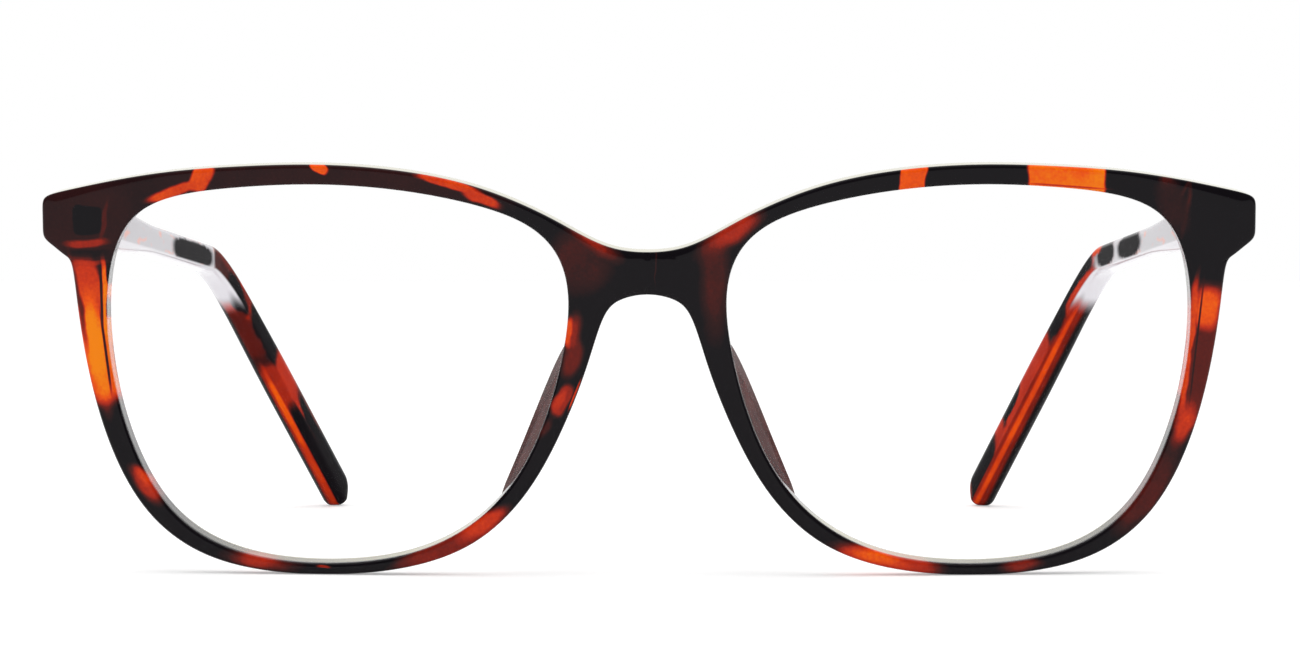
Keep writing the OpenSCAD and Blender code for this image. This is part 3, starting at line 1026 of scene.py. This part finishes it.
@dataclass
class MouldedFront:
    """The moulded front: both rims, bridge, end pieces and hinge blocks in one piece."""

    layout: FrontLayout
    hinge: HingePlace
    edge_r: float = 0.42
    edge_steps: int = 5
    column_steps: int = 8
    middle_rows: int = 4
    wall_rows: int = 6
    block_edge: float = 0.2
    block_margin: float = 0.4
    shadow_length: float = 90.0
    crease: float = 38.0

    # Places along the opening, counted in its marks, that lie across from the outline's marks.
    ACROSS = (
        -4.2, -3.8, -3.4, -3, -2, -1, 0, 1, 2, 2.7, 3, 3.3, 3.45, 3.6, 4, 4.2, 4.4,
        4.6, 4.75, 5, 6, 7, 8, 9, 10, 11, 12, 13, 14, 15, 16, 16.6, 16.9, 17.2,
    )

    def columns(self) -> tuple[np.ndarray, np.ndarray]:
        """Pair points of the opening's edge with points of the outline, round the left half.

        Returns:
            The opening's points and the outline's points, in step.
        """
        eye, marks = self.layout.eye_marks, self.layout.outer_marks
        turn = (*self.ACROSS, self.ACROSS[0] + len(eye))
        inner, outer = [], []
        for k in range(len(self.ACROSS)):
            for step in range(self.column_steps):
                t = step / self.column_steps
                inner.append(line_at(eye, turn[k] * (1 - t) + turn[k + 1] * t))
                if k < self.layout.last:
                    outer.append(line_at(marks, k + t))
                else:
                    low, top = line_at(marks, self.layout.last), line_at(marks, 0)
                    outer.append(low * (1 - t) + top * t)
        return np.array(inner), np.array(outer)

    def rows(self, inner: np.ndarray, outer: np.ndarray) -> list[np.ndarray]:
        """Rows of flat points from the opening to the outline, close together at both edges.

        Args:
            inner: Points of the opening's edge.
            outer: The outline's points, in step.

        Returns:
            The rows.
        """
        width = np.linalg.norm(outer - inner, axis=1)
        turns = np.linspace(0, math.pi / 2, self.edge_steps + 1)
        edge = [self.edge_r * (1 - math.cos(q)) / width for q in turns]
        steps = [k / (self.middle_rows + 1) for k in range(1, self.middle_rows + 1)]
        middle = [edge[-1] + (1 - 2 * edge[-1]) * k for k in steps]
        shares = edge + middle + [1 - share for share in reversed(edge)]
        return [inner + (outer - inner) * share[:, None] for share in shares]

    def free(self, x: np.ndarray) -> np.ndarray:
        """Share of the back's rounded edge that is left, which is none by the hinge block."""
        return np.clip(self.hinge.x - self.hinge.inner_face - self.block_margin - x, 0, 1)

    def half(self) -> tuple[np.ndarray, list[Face]]:
        """Make the left half as a grid that runs round the lens opening.

        Returns:
            Points in the row's frame and faces. The cut in the middle is left open.
        """
        layout, r = self.layout, self.edge_r
        inner, outer = self.columns()
        rows, n = self.rows(inner, outer), len(inner)
        flat = np.concatenate(rows)
        outline = drawn_line(layout.outer_marks, 0, layout.last, 1 / self.column_steps)
        eye = drawn_line(layout.eye_marks, 0, len(layout.eye_marks), 1 / self.column_steps)
        lines = (outline, outline * [-1, 1], eye)
        gap = np.minimum.reduce([distance_to_line(flat, line) for line in lines])
        fall = r - np.sqrt(np.maximum(r**2 - (r - np.clip(gap, 0, r)) ** 2, 0))
        back = layout.front_t - fall * self.free(flat[:, 0])
        points = [layout.on_face(flat, fall), layout.on_face(flat, back)]
        faces = grid_faces(len(rows), n) + grid_faces(len(rows), n, start=len(flat))
        count = 2 * len(flat)
        for edge, used in ((inner, n), (outer, n - self.column_steps)):
            deep = layout.front_t - r * (1 + self.free(edge[:, 0]))
            shares = np.linspace(0, 1, self.wall_rows)
            points += [layout.on_face(edge, r + deep * share) for share in shares]
            wall = grid_faces(self.wall_rows, n, start=count)
            faces += [face for i, face in enumerate(wall) if i % n < used]
            count += self.wall_rows * n
        return np.concatenate(points), faces

    def block(self, side: Side) -> Thing:
        """Make the block behind the end piece that carries the hinge.

        Args:
            side: The side it stands on.

        Returns:
            The block, with broken edges.
        """
        h = self.hinge
        outline = [
            (-h.inner_face, h.block_root), (-h.inner_face, -h.front_notch),
            (h.notch_x, -h.front_notch), (h.notch_x, h.mitre_y), (h.outer_face, h.mitre_y),
            (h.block_side, h.block_waist), (h.block_side, h.block_root),
        ]
        block = h.prism(side.named("block"), outline, -h.block_h / 2, h.block_h / 2, side)
        cut_with(block, [self.shadow()], Cut.INSIDE)
        edges = block.modifiers.new("edges", "BEVEL")
        edges.width, edges.segments, edges.limit_method = self.block_edge * MM, 2, "ANGLE"
        apply_modifiers(block)
        return block

    def shadow(self) -> Thing:
        """Make a bar of all that the front hides from straight ahead.

        Returns:
            The bar.
        """
        marks, step = self.layout.outer_marks, 0.25
        seen = self.layout.on_face(drawn_line(marks, 0, len(marks) - step, step), 0.0)
        ends = (-self.shadow_length, 0.0)
        return skin("shadow", [seen * [1, 0, 1] + [0, y, 0] for y in ends])

    def build(self) -> Thing:
        """Build the piece.

        Returns:
            The front, on its body.
        """
        points, faces = self.half()
        both = np.concatenate([points, Side.RIGHT.placed(points)])
        mirrored = [tuple(i + len(points) for i in reversed(face)) for face in faces]
        thing = mesh_object("tortoise_front", both, faces + mirrored)
        blocks = [self.block(side) for side in Side]
        edit = bmesh.new()
        edit.from_mesh(thing.data)
        for block in blocks:
            edit.from_mesh(block.data)
            bpy.data.objects.remove(block)
        edit.to_mesh(thing.data)
        edit.free()
        crisp_edges(thing, self.crease)
        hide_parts("frame_front")
        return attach(thing, "front_assembly")


@dataclass
class Lens:
    """A clear lens that fills its rim's opening and stands in the groove."""

    layout: FrontLayout
    side: Side
    thickness: float = 1.9
    middle: float = 1.85
    into_rim: float = 0.3
    steps: int = 6
    rings: int = 14
    hub: float = 0.02
    crease: float = 40.0

    def build(self) -> Thing:
        """Build the piece.

        Returns:
            The lens, on its body.
        """
        marks, step = self.layout.eye_marks, 1 / self.steps
        edge = drawn_line(marks, 0, len(marks) - step, step)
        edge = edge + self.into_rim * outward(np.roll(edge, -1, 0) - np.roll(edge, 1, 0))
        centre = edge.mean(0)
        rings = [centre + (edge - centre) * s for s in np.linspace(self.hub, 1, self.rings)]
        near, far = self.middle - self.thickness / 2, self.middle + self.thickness / 2
        stack = [self.layout.on_face(ring, near) for ring in rings]
        stack += [self.layout.on_face(ring, far) for ring in reversed(rings)]
        thing = skin(self.side.named("clear_lens"), [self.side.placed(ring) for ring in stack])
        crisp_edges(thing, self.crease)
        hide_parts(self.side.named("lens"))
        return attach(thing, "front_assembly")


@dataclass
class NosePad:
    """A nose pad glued behind the nasal side of a rim."""

    layout: FrontLayout
    side: Side
    length: float = 19.5
    height: float = 18.0
    depth: float = 5.8
    thickness: float = 1.7
    splay: float = 19.0
    edge: float = 0.3
    glue: float = 0.05
    bulge: float = 0.15
    stations: int = 31
    end_angle: float = 84.0
    edge_points: int = 13
    least_root: float = 0.3
    eye_span: Span = (13, 17)
    nose_span: Span = (27, 31)
    line_step: float = 0.25
    crease: float = 60.0

    def ring(self, q: float, lens_side: np.ndarray, nose_side: np.ndarray) -> np.ndarray:
        """Section of the pad.

        Args:
            q: Place along it, from -1 at its foot to 1 at its top.
            lens_side: Height and distance from the middle of the rim's lens side.
            nose_side: The same of the rim's nose side.

        Returns:
            The section's points in the row's frame.
        """
        v = self.height + q * self.length / 2
        share = math.sqrt(1 - q * q)
        inner = float(np.interp(v, *nose_side)) + self.edge
        outer = float(np.interp(v, *lens_side)) - self.edge
        root = (outer - inner) / 2 * min(1, self.least_root + share)
        near, far = (inner + outer) / 2 - root, (inner + outer) / 2 + root
        back = float(self.layout.sag(far)) + self.layout.front_t + self.glue
        r = self.thickness / 2 * (0.5 + 0.5 * share)
        reach = max(r, self.depth * share - r)
        x = (near + far) / 2 + reach * math.tan(math.radians(self.splay))
        low, mid, high = back, back + reach / 4, back + reach / 2
        turns = [math.radians(a) for a in np.linspace(180, 0, self.edge_points)]
        outline = [
            (near, low), ((3 * near + x - r) / 4, mid), ((near + x - r) / 2 + self.bulge, high),
            *((x + r * math.cos(a), back + reach + r * math.sin(a)) for a in turns),
            ((far + x + r) / 2 - self.bulge, high), ((3 * far + x + r) / 4, mid), (far, low),
        ]
        across, deep = np.array(outline).T
        return self.side.placed(self.layout.in_row(across, v, deep))

    def build(self) -> Thing:
        """Build the piece.

        Returns:
            The pad, on its body.
        """
        eye = drawn_line(self.layout.eye_marks, *self.eye_span, self.line_step)[:, ::-1].T
        nose = drawn_line(self.layout.outer_marks, *self.nose_span, self.line_step)[:, ::-1].T
        turns = np.linspace(-self.end_angle, self.end_angle, self.stations)
        rings = [self.ring(math.sin(math.radians(a)), eye, nose) for a in turns]
        thing = skin(self.side.named("pad"), rings)
        crisp_edges(thing, self.crease)
        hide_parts(self.side.named("nose_pad"))
        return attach(thing, "front_assembly")


@dataclass
class Temple:
    """A temple: tapered behind the hinge, bent down behind the ear, with a round end."""

    hinge: HingePlace
    side: Side
    arm_len: float = 77.0
    bend_r: float = 29.0
    bend_angle: float = 41.0
    droop: float = 2.8
    toe: float = 1.9
    end_lean: float = 14.5
    root_h: float = 5.4
    root_t: float = 5.2
    mid_h: float = 3.5
    mid_t: float = 3.2
    taper_len: float = 34.0
    tip_h: float = 5.4
    tip_t: float = 3.3
    tip_growth: float = 1.8
    section_r: float = 0.8
    tip_r: float = 0.4
    drop_len: float = 39.462
    corner_steps: int = 6
    blunt: float = 0.02
    fullest: float = 0.9
    start: float = -2.0
    counts: tuple[int, ...] = (18, 12, 22, 12)
    tip_count: int = 12
    cutter: float = 9.0
    crease: float = 35.0

    @property
    def bend_len(self) -> float:
        """Length of the bend along the middle line."""
        return self.bend_r * math.radians(self.bend_angle)

    @property
    def total(self) -> float:
        """Length of the middle line from the hinge axis."""
        return self.arm_len + self.bend_len + self.drop_len

    def middle(self, s: float) -> tuple[np.ndarray, float, float]:
        """Middle line of the temple, in its own frame.

        Args:
            s: Distance along it from the hinge axis.

        Returns:
            The point, its fall and its lean, in radians.
        """
        a, lean = math.radians(self.bend_angle), math.radians(self.end_lean)
        u = min(1.0, max(0.0, (s - self.arm_len) / self.bend_len))
        past = max(0.0, s - self.arm_len - self.bend_len)
        y = min(s, self.arm_len) + self.bend_r * math.sin(u * a) + past * math.cos(a)
        z = -self.bend_r * (1 - math.cos(u * a)) - past * math.sin(a)
        x = -math.tan(lean) * (self.bend_len * u * u / 2 + past)
        return np.array([x, y, z]), u * a, u * lean

    def sizes(self, s: float) -> tuple[float, float]:
        """Thickness and height of the section.

        Args:
            s: Distance from the hinge axis.

        Returns:
            The thickness and the height.
        """
        taper, past = soft_step(s / self.taper_len), (s - self.arm_len) / self.bend_len
        thick = self.root_t + (self.mid_t - self.root_t) * taper
        high = self.root_h + (self.mid_h - self.root_h) * taper
        thick += (self.tip_t - self.mid_t) * soft_step(past)
        high += (self.tip_h - self.mid_h) * soft_step(past / self.tip_growth)
        return thick, high

    def ring(self, s: float) -> np.ndarray:
        """Section of the temple.

        Args:
            s: Distance from the hinge axis.

        Returns:
            The section's points in the row's frame.
        """
        tip_round, left = self.tip_h / 2, self.total - s
        share = 1.0
        if left < tip_round:
            share = math.sqrt(max(self.blunt, 1 - (1 - left / tip_round) ** 2))
        thick, high = self.sizes(s)
        a, b = thick / 2 * math.sqrt(share), high / 2 * share
        r = self.section_r + self.tip_r * soft_step((s - self.arm_len) / self.bend_len)
        r = min(r, self.fullest * a, self.fullest * b)
        centre, fall, lean = self.middle(s)
        points = []
        for sx, sz, start in ((1, 1, 0), (-1, 1, 90), (-1, -1, 180), (1, -1, 270)):
            for step in range(self.corner_steps + 1):
                q = math.radians(start + 90 * step / self.corner_steps)
                u = thick / 2 - self.hinge.inner_face + sx * (a - r) + r * math.cos(q)
                w = sz * (b - r) + r * math.sin(q)
                points.append(centre + [
                    u * math.cos(lean),
                    u * math.sin(lean) * math.cos(fall) + w * math.sin(fall),
                    -u * math.sin(lean) * math.sin(fall) + w * math.cos(fall),
                ])
        return self.in_row(np.array(points))

    @property
    def axis(self) -> np.ndarray:
        """The middle of the left hinge, in the row."""
        return self.hinge.in_row(np.zeros((1, 3)))

    def turn(self) -> np.ndarray:
        """Turn from the left temple's own frame to the row's: towards the head, then down.

        Returns:
            The matrix of the turn.
        """
        toe, fall = math.radians(self.toe), math.radians(-self.droop)
        a, b, c, d = math.cos(toe), math.sin(toe), math.cos(fall), math.sin(fall)
        about_z = np.array([[a, -b, 0], [b, a, 0], [0, 0, 1]])
        about_x = np.array([[1, 0, 0], [0, c, -d], [0, d, c]])
        return about_x @ about_z

    def in_row(self, points: np.ndarray) -> np.ndarray:
        """Place points of the left temple's own frame in the row.

        Args:
            points: The points, one row each.

        Returns:
            The points on this temple's side, not below the table.
        """
        placed = points @ self.turn().T + self.axis
        placed[:, 2] = np.maximum(placed[:, 2], 0)
        return self.side.placed(placed)

    def lay_out(self, thing: Thing) -> None:
        """Keep the unbent place of each point for the pattern.

        It is the distance along, the height, and the depth from the inner face.

        Args:
            thing: The temple.
        """
        points = np.array([vertex.co for vertex in thing.data.vertices]) / MM
        own = (self.side.placed(points) - self.axis) @ self.turn()
        y, z = own[:, 1] - self.arm_len, own[:, 2] + self.bend_r
        angle = np.clip(np.arctan2(y, z), 0, math.radians(self.bend_angle))
        along = self.arm_len + self.bend_r * angle + y * np.cos(angle) - z * np.sin(angle)
        height = y * np.sin(angle) + z * np.cos(angle) - self.bend_r
        middle = np.array([self.middle(s)[0][0] for s in along])
        places = np.stack([along, height, own[:, 0] - middle + self.hinge.inner_face], -1)
        layer = thing.data.attributes.new(LAID_OUT, "FLOAT_VECTOR", "POINT")
        layer.data.foreach_set("vector", places.astype(np.float32).ravel())

    def stations(self) -> list[float]:
        """Places of the sections along the middle line.

        Returns:
            The distances from the hinge axis, close together in the bend and at the tip.
        """
        tip_round = self.tip_h / 2
        tip = self.total - tip_round
        marks = (0, self.taper_len, self.arm_len, self.arm_len + self.bend_len, tip)
        places = [self.start, 0.0]
        for a, b, count in zip(marks, marks[1:], self.counts):
            places += list(np.linspace(a, b, count))[1:]
        turns = np.linspace(0, math.pi / 2, self.tip_count)[1:]
        return places + [tip + tip_round * math.sin(q) for q in turns]

    def build(self) -> Thing:
        """Build the piece.

        Returns:
            The temple, on its body, with its place laid out for the pattern.
        """
        thing = skin(self.side.named("tortoise_temple"), [self.ring(s) for s in self.stations()])
        h, far = self.hinge, self.cutter
        cutters = []
        for right, back in ((far, h.mitre_y + h.mitre_gap), (h.notch_x, h.temple_notch)):
            outline = [(-far, -far), (right, -far), (right, back), (-far, back)]
            cutters.append(h.prism("cut", outline, -far, far, self.side))
        cut_with(thing, cutters, Cut.OUTSIDE)
        crisp_edges(thing, self.crease)
        self.lay_out(thing)
        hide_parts(self.side.named("temple"))
        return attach(thing, self.side.named("temple_assembly"))


@dataclass
class Hardware:
    """The hinges, screws and wire cores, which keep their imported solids."""

    nodes: dict[str, Thing]

    def dress(self) -> list[Thing]:
        """Give each piece its metal.

        Returns:
            The pieces.
        """
        leaf = MetalFinish("nickel_hinge", (0.62, 0.6, 0.56), 0.28, (1, 1, 0.1)).material()
        screw = MetalFinish("steel_screw", (0.66, 0.65, 0.63), 0.2, (1, 1, 0.2)).material()
        wire = MetalFinish("drawn_wire", (0.62, 0.58, 0.52), 0.3, (1, 0.1, 1)).material()
        return [
            dress(self.nodes[side.named(what)], material, slot)
            for side in Side
            for what, material, slot in (
                ("front_hinge_leaf", leaf, Slot.HINGE),
                ("temple_hinge_leaf", leaf, Slot.HINGE),
                ("hinge_screw", screw, Slot.HINGE),
                ("temple_core", wire, Slot.WIRE),
            )
        ]


def patches(*rows: tuple[float, ...], **same: float) -> tuple[Patch, ...]:
    """Patches from rows of their values, in the order of a patch's fields."""
    return tuple(Patch(*row, **same) for row in rows)


FRONT_PATCHES = patches(
    # The wearer's right brow and end piece: red-brown with amber streaks.
    (-36.1, 44.7, 26.7, 3.9, 0, 0.19, 0.5), (-64.5, 40.1, 6.6, 5.9, 0, 0.2, 0.4),
    (-50.5, 45.1, 1.8, 1.1, 66, 0.78, 0.2, 4), (-53.8, 43.5, 3.3, 0.63, 19, 0.76, 0.3),
    (-37, 46.2, 1.1, 0.57, -32, 0.84, 0.2, 3), (-22.4, 44.4, 3.6, 0.57, -15, 0.74, 0.25, 2.5),
    (-18.6, 42.7, 2.3, 0.68, -22, 0.7, 0.3, 2.5), (-63.8, 40.3, 1.7, 1.6, 0, 0, 0.12, 6),
    (-61.9, 40.1, 0.34, 2.3, -12, 0.32, 0.5), (-64, 37.7, 2.4, 0.45, 2, 0.52, 0.4, 3),
    (-63.8, 36.5, 2.5, 0.45, 0, 0.1, 0.4, 3), (-63.6, 35.4, 1.8, 0.28, 0, 0.5, 0.5, 3),
    # Its side rim: amber, with a dark line that is the painted shadow of the lens groove.
    (-63.2, 27.6, 8.2, 1.9, -80, 0.74, 0.14, 5), (-62.9, 25.3, 5.9, 1.1, -80, 1, 0.6),
    (-65, 31.2, 4.8, 0.34, -80, 0.4, 0.6), (-61.9, 31.2, 4.3, 0.3, -89, 0.94, 0.3, 4),
    (-61.3, 24.9, 4.3, 0.32, -82, 0.94, 0.3, 4),
    (-62.3, 31.6, 3.3, 0.15, -89, 0.2, 0.4, 4, 0, 9, True),
    (-61.9, 25.3, 4.1, 0.14, -83, 0.2, 0.4, 4, 0, 9, True), (-57.5, 10.1, 2.5, 1, -52, 0.62, 0.5),
    (-57.8, 11, 1.4, 0.45, -52, 0.74, 0.6),
    # Its lower rim and nose side.
    (-44.2, 1.5, 3.9, 1.1, -9, 0.42, 0.6), (-44.4, 1.5, 2, 0.68, -9, 0.6, 0.8),
    (-37, 0.9, 0.8, 0.18, 0, 0.52, 0.5, 3), (-21.8, 3.4, 7.7, 1.3, 22, 0.45, 0.35, 2.5),
    (-18.4, 6, 3, 0.91, 37, 0.7, 0.5), (-7.6, 35.6, 3.6, 3.6, 10, 0.26, 0.5),
    (-6, 37.9, 3, 0.8, -34, 0.5, 0.7), (-8.4, 27.4, 2.3, 0.91, 80, 0.5, 0.6),
    (-8.9, 27.7, 1.7, 0.45, 84, 0.76, 0.35), (-8.5, 24.4, 2, 1, 72, 0.42, 0.5),
    (-9.6, 19.9, 2, 0.91, 60, 0.52, 0.25, 3), (-9.9, 19.8, 1.3, 0.45, 62, 0.64, 0.5),
    (-8.2, 20.6, 1.9, 0.11, 68, 0.7, 0.4, 3, 0, 9, True), (-11.6, 16.7, 1.4, 0.57, 60, 0.26, 0.6),
    # The wearer's left half: near-black with amber blocks.
    (7.6, 33.7, 6.4, 1.6, 90, 0.3, 0.6), (9.2, 38.5, 3.6, 1.1, 33, 0.46, 0.7),
    (10, 39.2, 2.5, 0.91, 33, 0.58, 0.8), (0.9, 36.4, 3.4, 0.09, 90, 0.22, 0.5, 3),
    (29.8, 45.2, 1.5, 2, -5, 0.84, 0.1, 8), (47.2, 44.9, 4.4, 2.3, 4, 0.9, 0.06, 9),
    (47.4, 44.1, 4.1, 0.1, -4, 0.66, 0.5, 3, 0, 9, True), (58.7, 44.4, 1, 0.68, -60, 0.46, 0.6),
    (61, 41.7, 2.5, 0.23, 80, 0.36, 0.9), (60.1, 42.6, 2.3, 0.18, 60, 0.34, 0.9),
    (59.4, 42, 3.2, 1.8, -70, 0.2, 0.6),
    # Its side rim, lower rim and nose side.
    (62.8, 25, 8.2, 2.7, 82, 0.36, 0.12, 5), (63.7, 30.2, 2.2, 1.4, 80, 0.82, 0.35, 3),
    (61.6, 26.1, 7.7, 0.45, 84, 0.74, 0.3, 3),
    (62.4, 26.1, 6.6, 0.11, 84, 0.22, 0.5, 3, 0, 9, True), (61, 16.8, 2.7, 1, 70, 0.68, 0.6),
    (56.9, 9.6, 5.9, 2, 55, 0.3, 0.4), (27.1, 1.7, 6.1, 1.4, -12, 0.6, 0.35, 3),
    (26, 2, 3, 0.68, -14, 0.86, 0.7), (42.4, 1, 2.3, 0.68, 6, 0.46, 0.6),
)

# Depth of a temple's patches that lie on its inner face.
SHALLOW = 1.2
TEMPLE_PATCHES = {
    Side.RIGHT: patches(
        (59, -0.1, 16.5, 1.5, 0, 0.03, 0.14, 3), (84, 0.2, 7.5, 2.3, 0, 0.28, 0.2, 3),
        (85, 1.1, 6, 0.8, -4, 0.46, 0.5), (91, -1, 4.5, 1.8, 0, 0.02, 0.2, 3),
        (96, 1, 3.5, 1.6, 0, 0.48, 0.4), (102, 0.5, 5.5, 2.6, 8, 0.02, 0.15, 3),
        (112, -0.3, 6, 3, 0, 0.62, 0.15, 4), (127, 0.6, 12, 2.4, -3, 0.03, 0.15, 4),
        (119, 1.8, 5, 0.8, 0, 0.42, 0.5),
        thick=SHALLOW,
    ) + patches(
        # Its underside, the bright corner, which is a painted highlight, and the dark outer edge.
        (99, -2.6, 5.5, 0.9, 0, 0.36, 0.3, 3, 2, 3),
        (109, -2.6, 4, 0.9, 0, 0.56, 0.3, 4, 0.6, 1.2, True),
        (126, -2.5, 12, 1.1, 0, 0.04, 0.15, 4, 0.2, 0.9, True),
        (122, -2.7, 16.5, 0.8, 0, 0.56, 0.12, 5, 1.9, 0.9, True),
        (115, -2.7, 8, 0.8, 0, 0.84, 0.4, 3, 1.5, 0.45, True),
        (130, -2.7, 7, 0.8, 0, 0.7, 0.4, 3, 1.6, 0.45, True),
        (115, -2, 26, 1.6, 0, 0.05, 0.3, 3, 3.3, 0.9, True),
    ),
    Side.LEFT: patches(
        (47, 0.2, 10.5, 1.6, 0, 0.02, 0.2, 2.3), (69, 0.2, 8.5, 1.7, 0, 0.02, 0.2, 2.3),
        (78, 1.3, 5, 0.8, 0, 0.76, 0.4), (90, 0.8, 8, 1.8, 0, 0.02, 0.2, 3),
        (88, -1, 9, 0.9, 4, 0.66, 0.4), (99.5, 0.6, 4, 2, 10, 0.02, 0.2, 3),
        (111, 0, 9, 3, 0, 0.62, 0.12, 5), (118, 1.5, 4, 1.6, 0, 0.02, 0.2, 3),
        (123.5, 0.5, 3, 2.4, 0, 0.6, 0.3, 3), (130, 0.4, 5.5, 2.6, 0, 0.02, 0.2, 3),
        (136.5, 0, 2, 3, 0, 0.48, 0.4),
        thick=SHALLOW,
    ) + patches(
        # Its underside, the bright corner, which is a painted highlight, and the dark outer edge.
        (115, -2.6, 24, 0.9, 0, 0.49, 0.12, 5, 2, 3, True),
        (115, -2.4, 24, 0.45, 0, 0.78, 0.4, 4, 0.6, 0.36, True),
        (115, -2.2, 26, 1.8, 0, 0.06, 0.3, 3, 2.9, 1.1, True),
    ),
}


@dataclass
class Glasses:
    """The whole object."""

    nodes: dict[str, Thing]
    layout: FrontLayout = field(default_factory=FrontLayout)

    def build(self) -> list[Thing]:
        """Build and dress every piece.

        Returns:
            The pieces.
        """
        hinge = HingePlace(self.layout)
        tortoise = TortoiseFinish("front_tortoise", FRONT_PATCHES).material()
        pieces = [dress(MouldedFront(self.layout, hinge).build(), tortoise, Slot.TORTOISE)]
        lens, pad = LensFinish().material(), PadFinish().material()
        for side in Side:
            temple = TempleFinish(side.named("temple_tortoise"), TEMPLE_PATCHES[side]).material()
            pieces += [
                dress(Lens(self.layout, side).build(), lens, Slot.LENS),
                dress(NosePad(self.layout, side).build(), pad, Slot.PAD),
                dress(Temple(hinge, side).build(), temple, Slot.TORTOISE),
            ]
        return pieces + Hardware(self.nodes).dress()


@dataclass
class Studio:
    """White floor and surroundings, soft light, and the camera."""

    eye: Triple = (5.5, -520.24, 35.78)
    pitch: float = -0.926
    yaw: float = 0.66
    lens: float = 111.33
    floor_half: float = 6000.0
    floor_drop: float = 0.05
    daylight: float = 0.9
    room_glow: float = 0.13
    wall_rise: Span = (0.0, 0.7)
    lamp_size: Span = (1200.0, 800.0)
    lamp_place: Triple = (0.0, -100.0, 1000.0)
    lamp_power: float = 3.0

    def build(self) -> None:
        """Build the studio."""
        self.camera()
        self.floor()
        self.world()
        self.lamp()

    def add(self, name: str, data: bpy.types.ID) -> Thing:
        """Add an object to the scene.

        Args:
            name: The object's name.
            data: What it holds.

        Returns:
            The object.
        """
        thing = bpy.data.objects.new(name, data)
        bpy.context.scene.collection.objects.link(thing)
        return thing

    def camera(self) -> None:
        """Place the camera at the photograph's angle."""
        data = bpy.data.cameras.new("camera")
        data.lens, data.sensor_width, data.clip_start, data.clip_end = self.lens, 36, 0.05, 20
        camera = self.add("camera", data)
        camera.location = [c * MM for c in self.eye]
        camera.rotation_euler = (math.radians(90 + self.pitch), 0, math.radians(self.yaw))
        bpy.context.scene.camera = camera

    def floor(self) -> None:
        """Lay the floor."""
        mesh = bpy.data.meshes.new("floor")
        far, low = self.floor_half * MM, -self.floor_drop * MM
        corners = [(-far, -far, low), (far, -far, low), (far, far, low), (-far, far, low)]
        mesh.from_pydata(corners, [], [(0, 1, 2, 3)])
        mesh.materials.append(FloorFinish().material())
        self.add("floor", mesh)

    def world(self) -> None:
        """Surround the object with white that lights it at a plain level.

        Polished faces mirror the bright wall behind the object and the dim room before it.
        """
        world = bpy.data.worlds.new("white")
        world.use_nodes = True
        graph = Graph(world.node_tree)
        ray = graph.node("ShaderNodeLightPath").outputs
        ahead = graph.split(graph.node("ShaderNodeTexCoord").outputs["Generated"])[1]
        mirrored = graph.soft(ahead, *self.wall_rise, self.room_glow, 1.0)
        seen = graph.either(ray["Is Camera Ray"], ray["Is Transmission Ray"])
        strength = graph.blend(ray["Is Glossy Ray"], self.daylight, mirrored)
        shown = {"Color": (1, 1, 1, 1), "Strength": graph.blend(seen, strength, 1.0)}
        background = graph.node("ShaderNodeBackground", shown)
        graph.node("ShaderNodeOutputWorld", {0: background.outputs[0]})
        bpy.context.scene.world = world

    def lamp(self) -> None:
        """Hang a wide soft lamp overhead."""
        data = bpy.data.lights.new("overhead", "AREA")
        data.shape, data.energy = "RECTANGLE", self.lamp_power
        data.size, data.size_y = (size * MM for size in self.lamp_size)
        self.add("overhead", data).location = [c * MM for c in self.lamp_place]


def main() -> None:
    """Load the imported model, build the looks round it and report each piece."""
    logging.basicConfig(level=logging.INFO, format="%(message)s")
    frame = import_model()
    for build_effect in (build_patch, build_wobble, build_mottle, build_handling):
        build_effect()
    for piece in Glasses(frame["nodes"]).build():
        LOG.info("%s: %d faces", piece.name, len(piece.data.polygons))
    Studio().build()
    bpy.context.scene.view_settings.view_transform = "Standard"


if __name__ == "__main__":
    main()
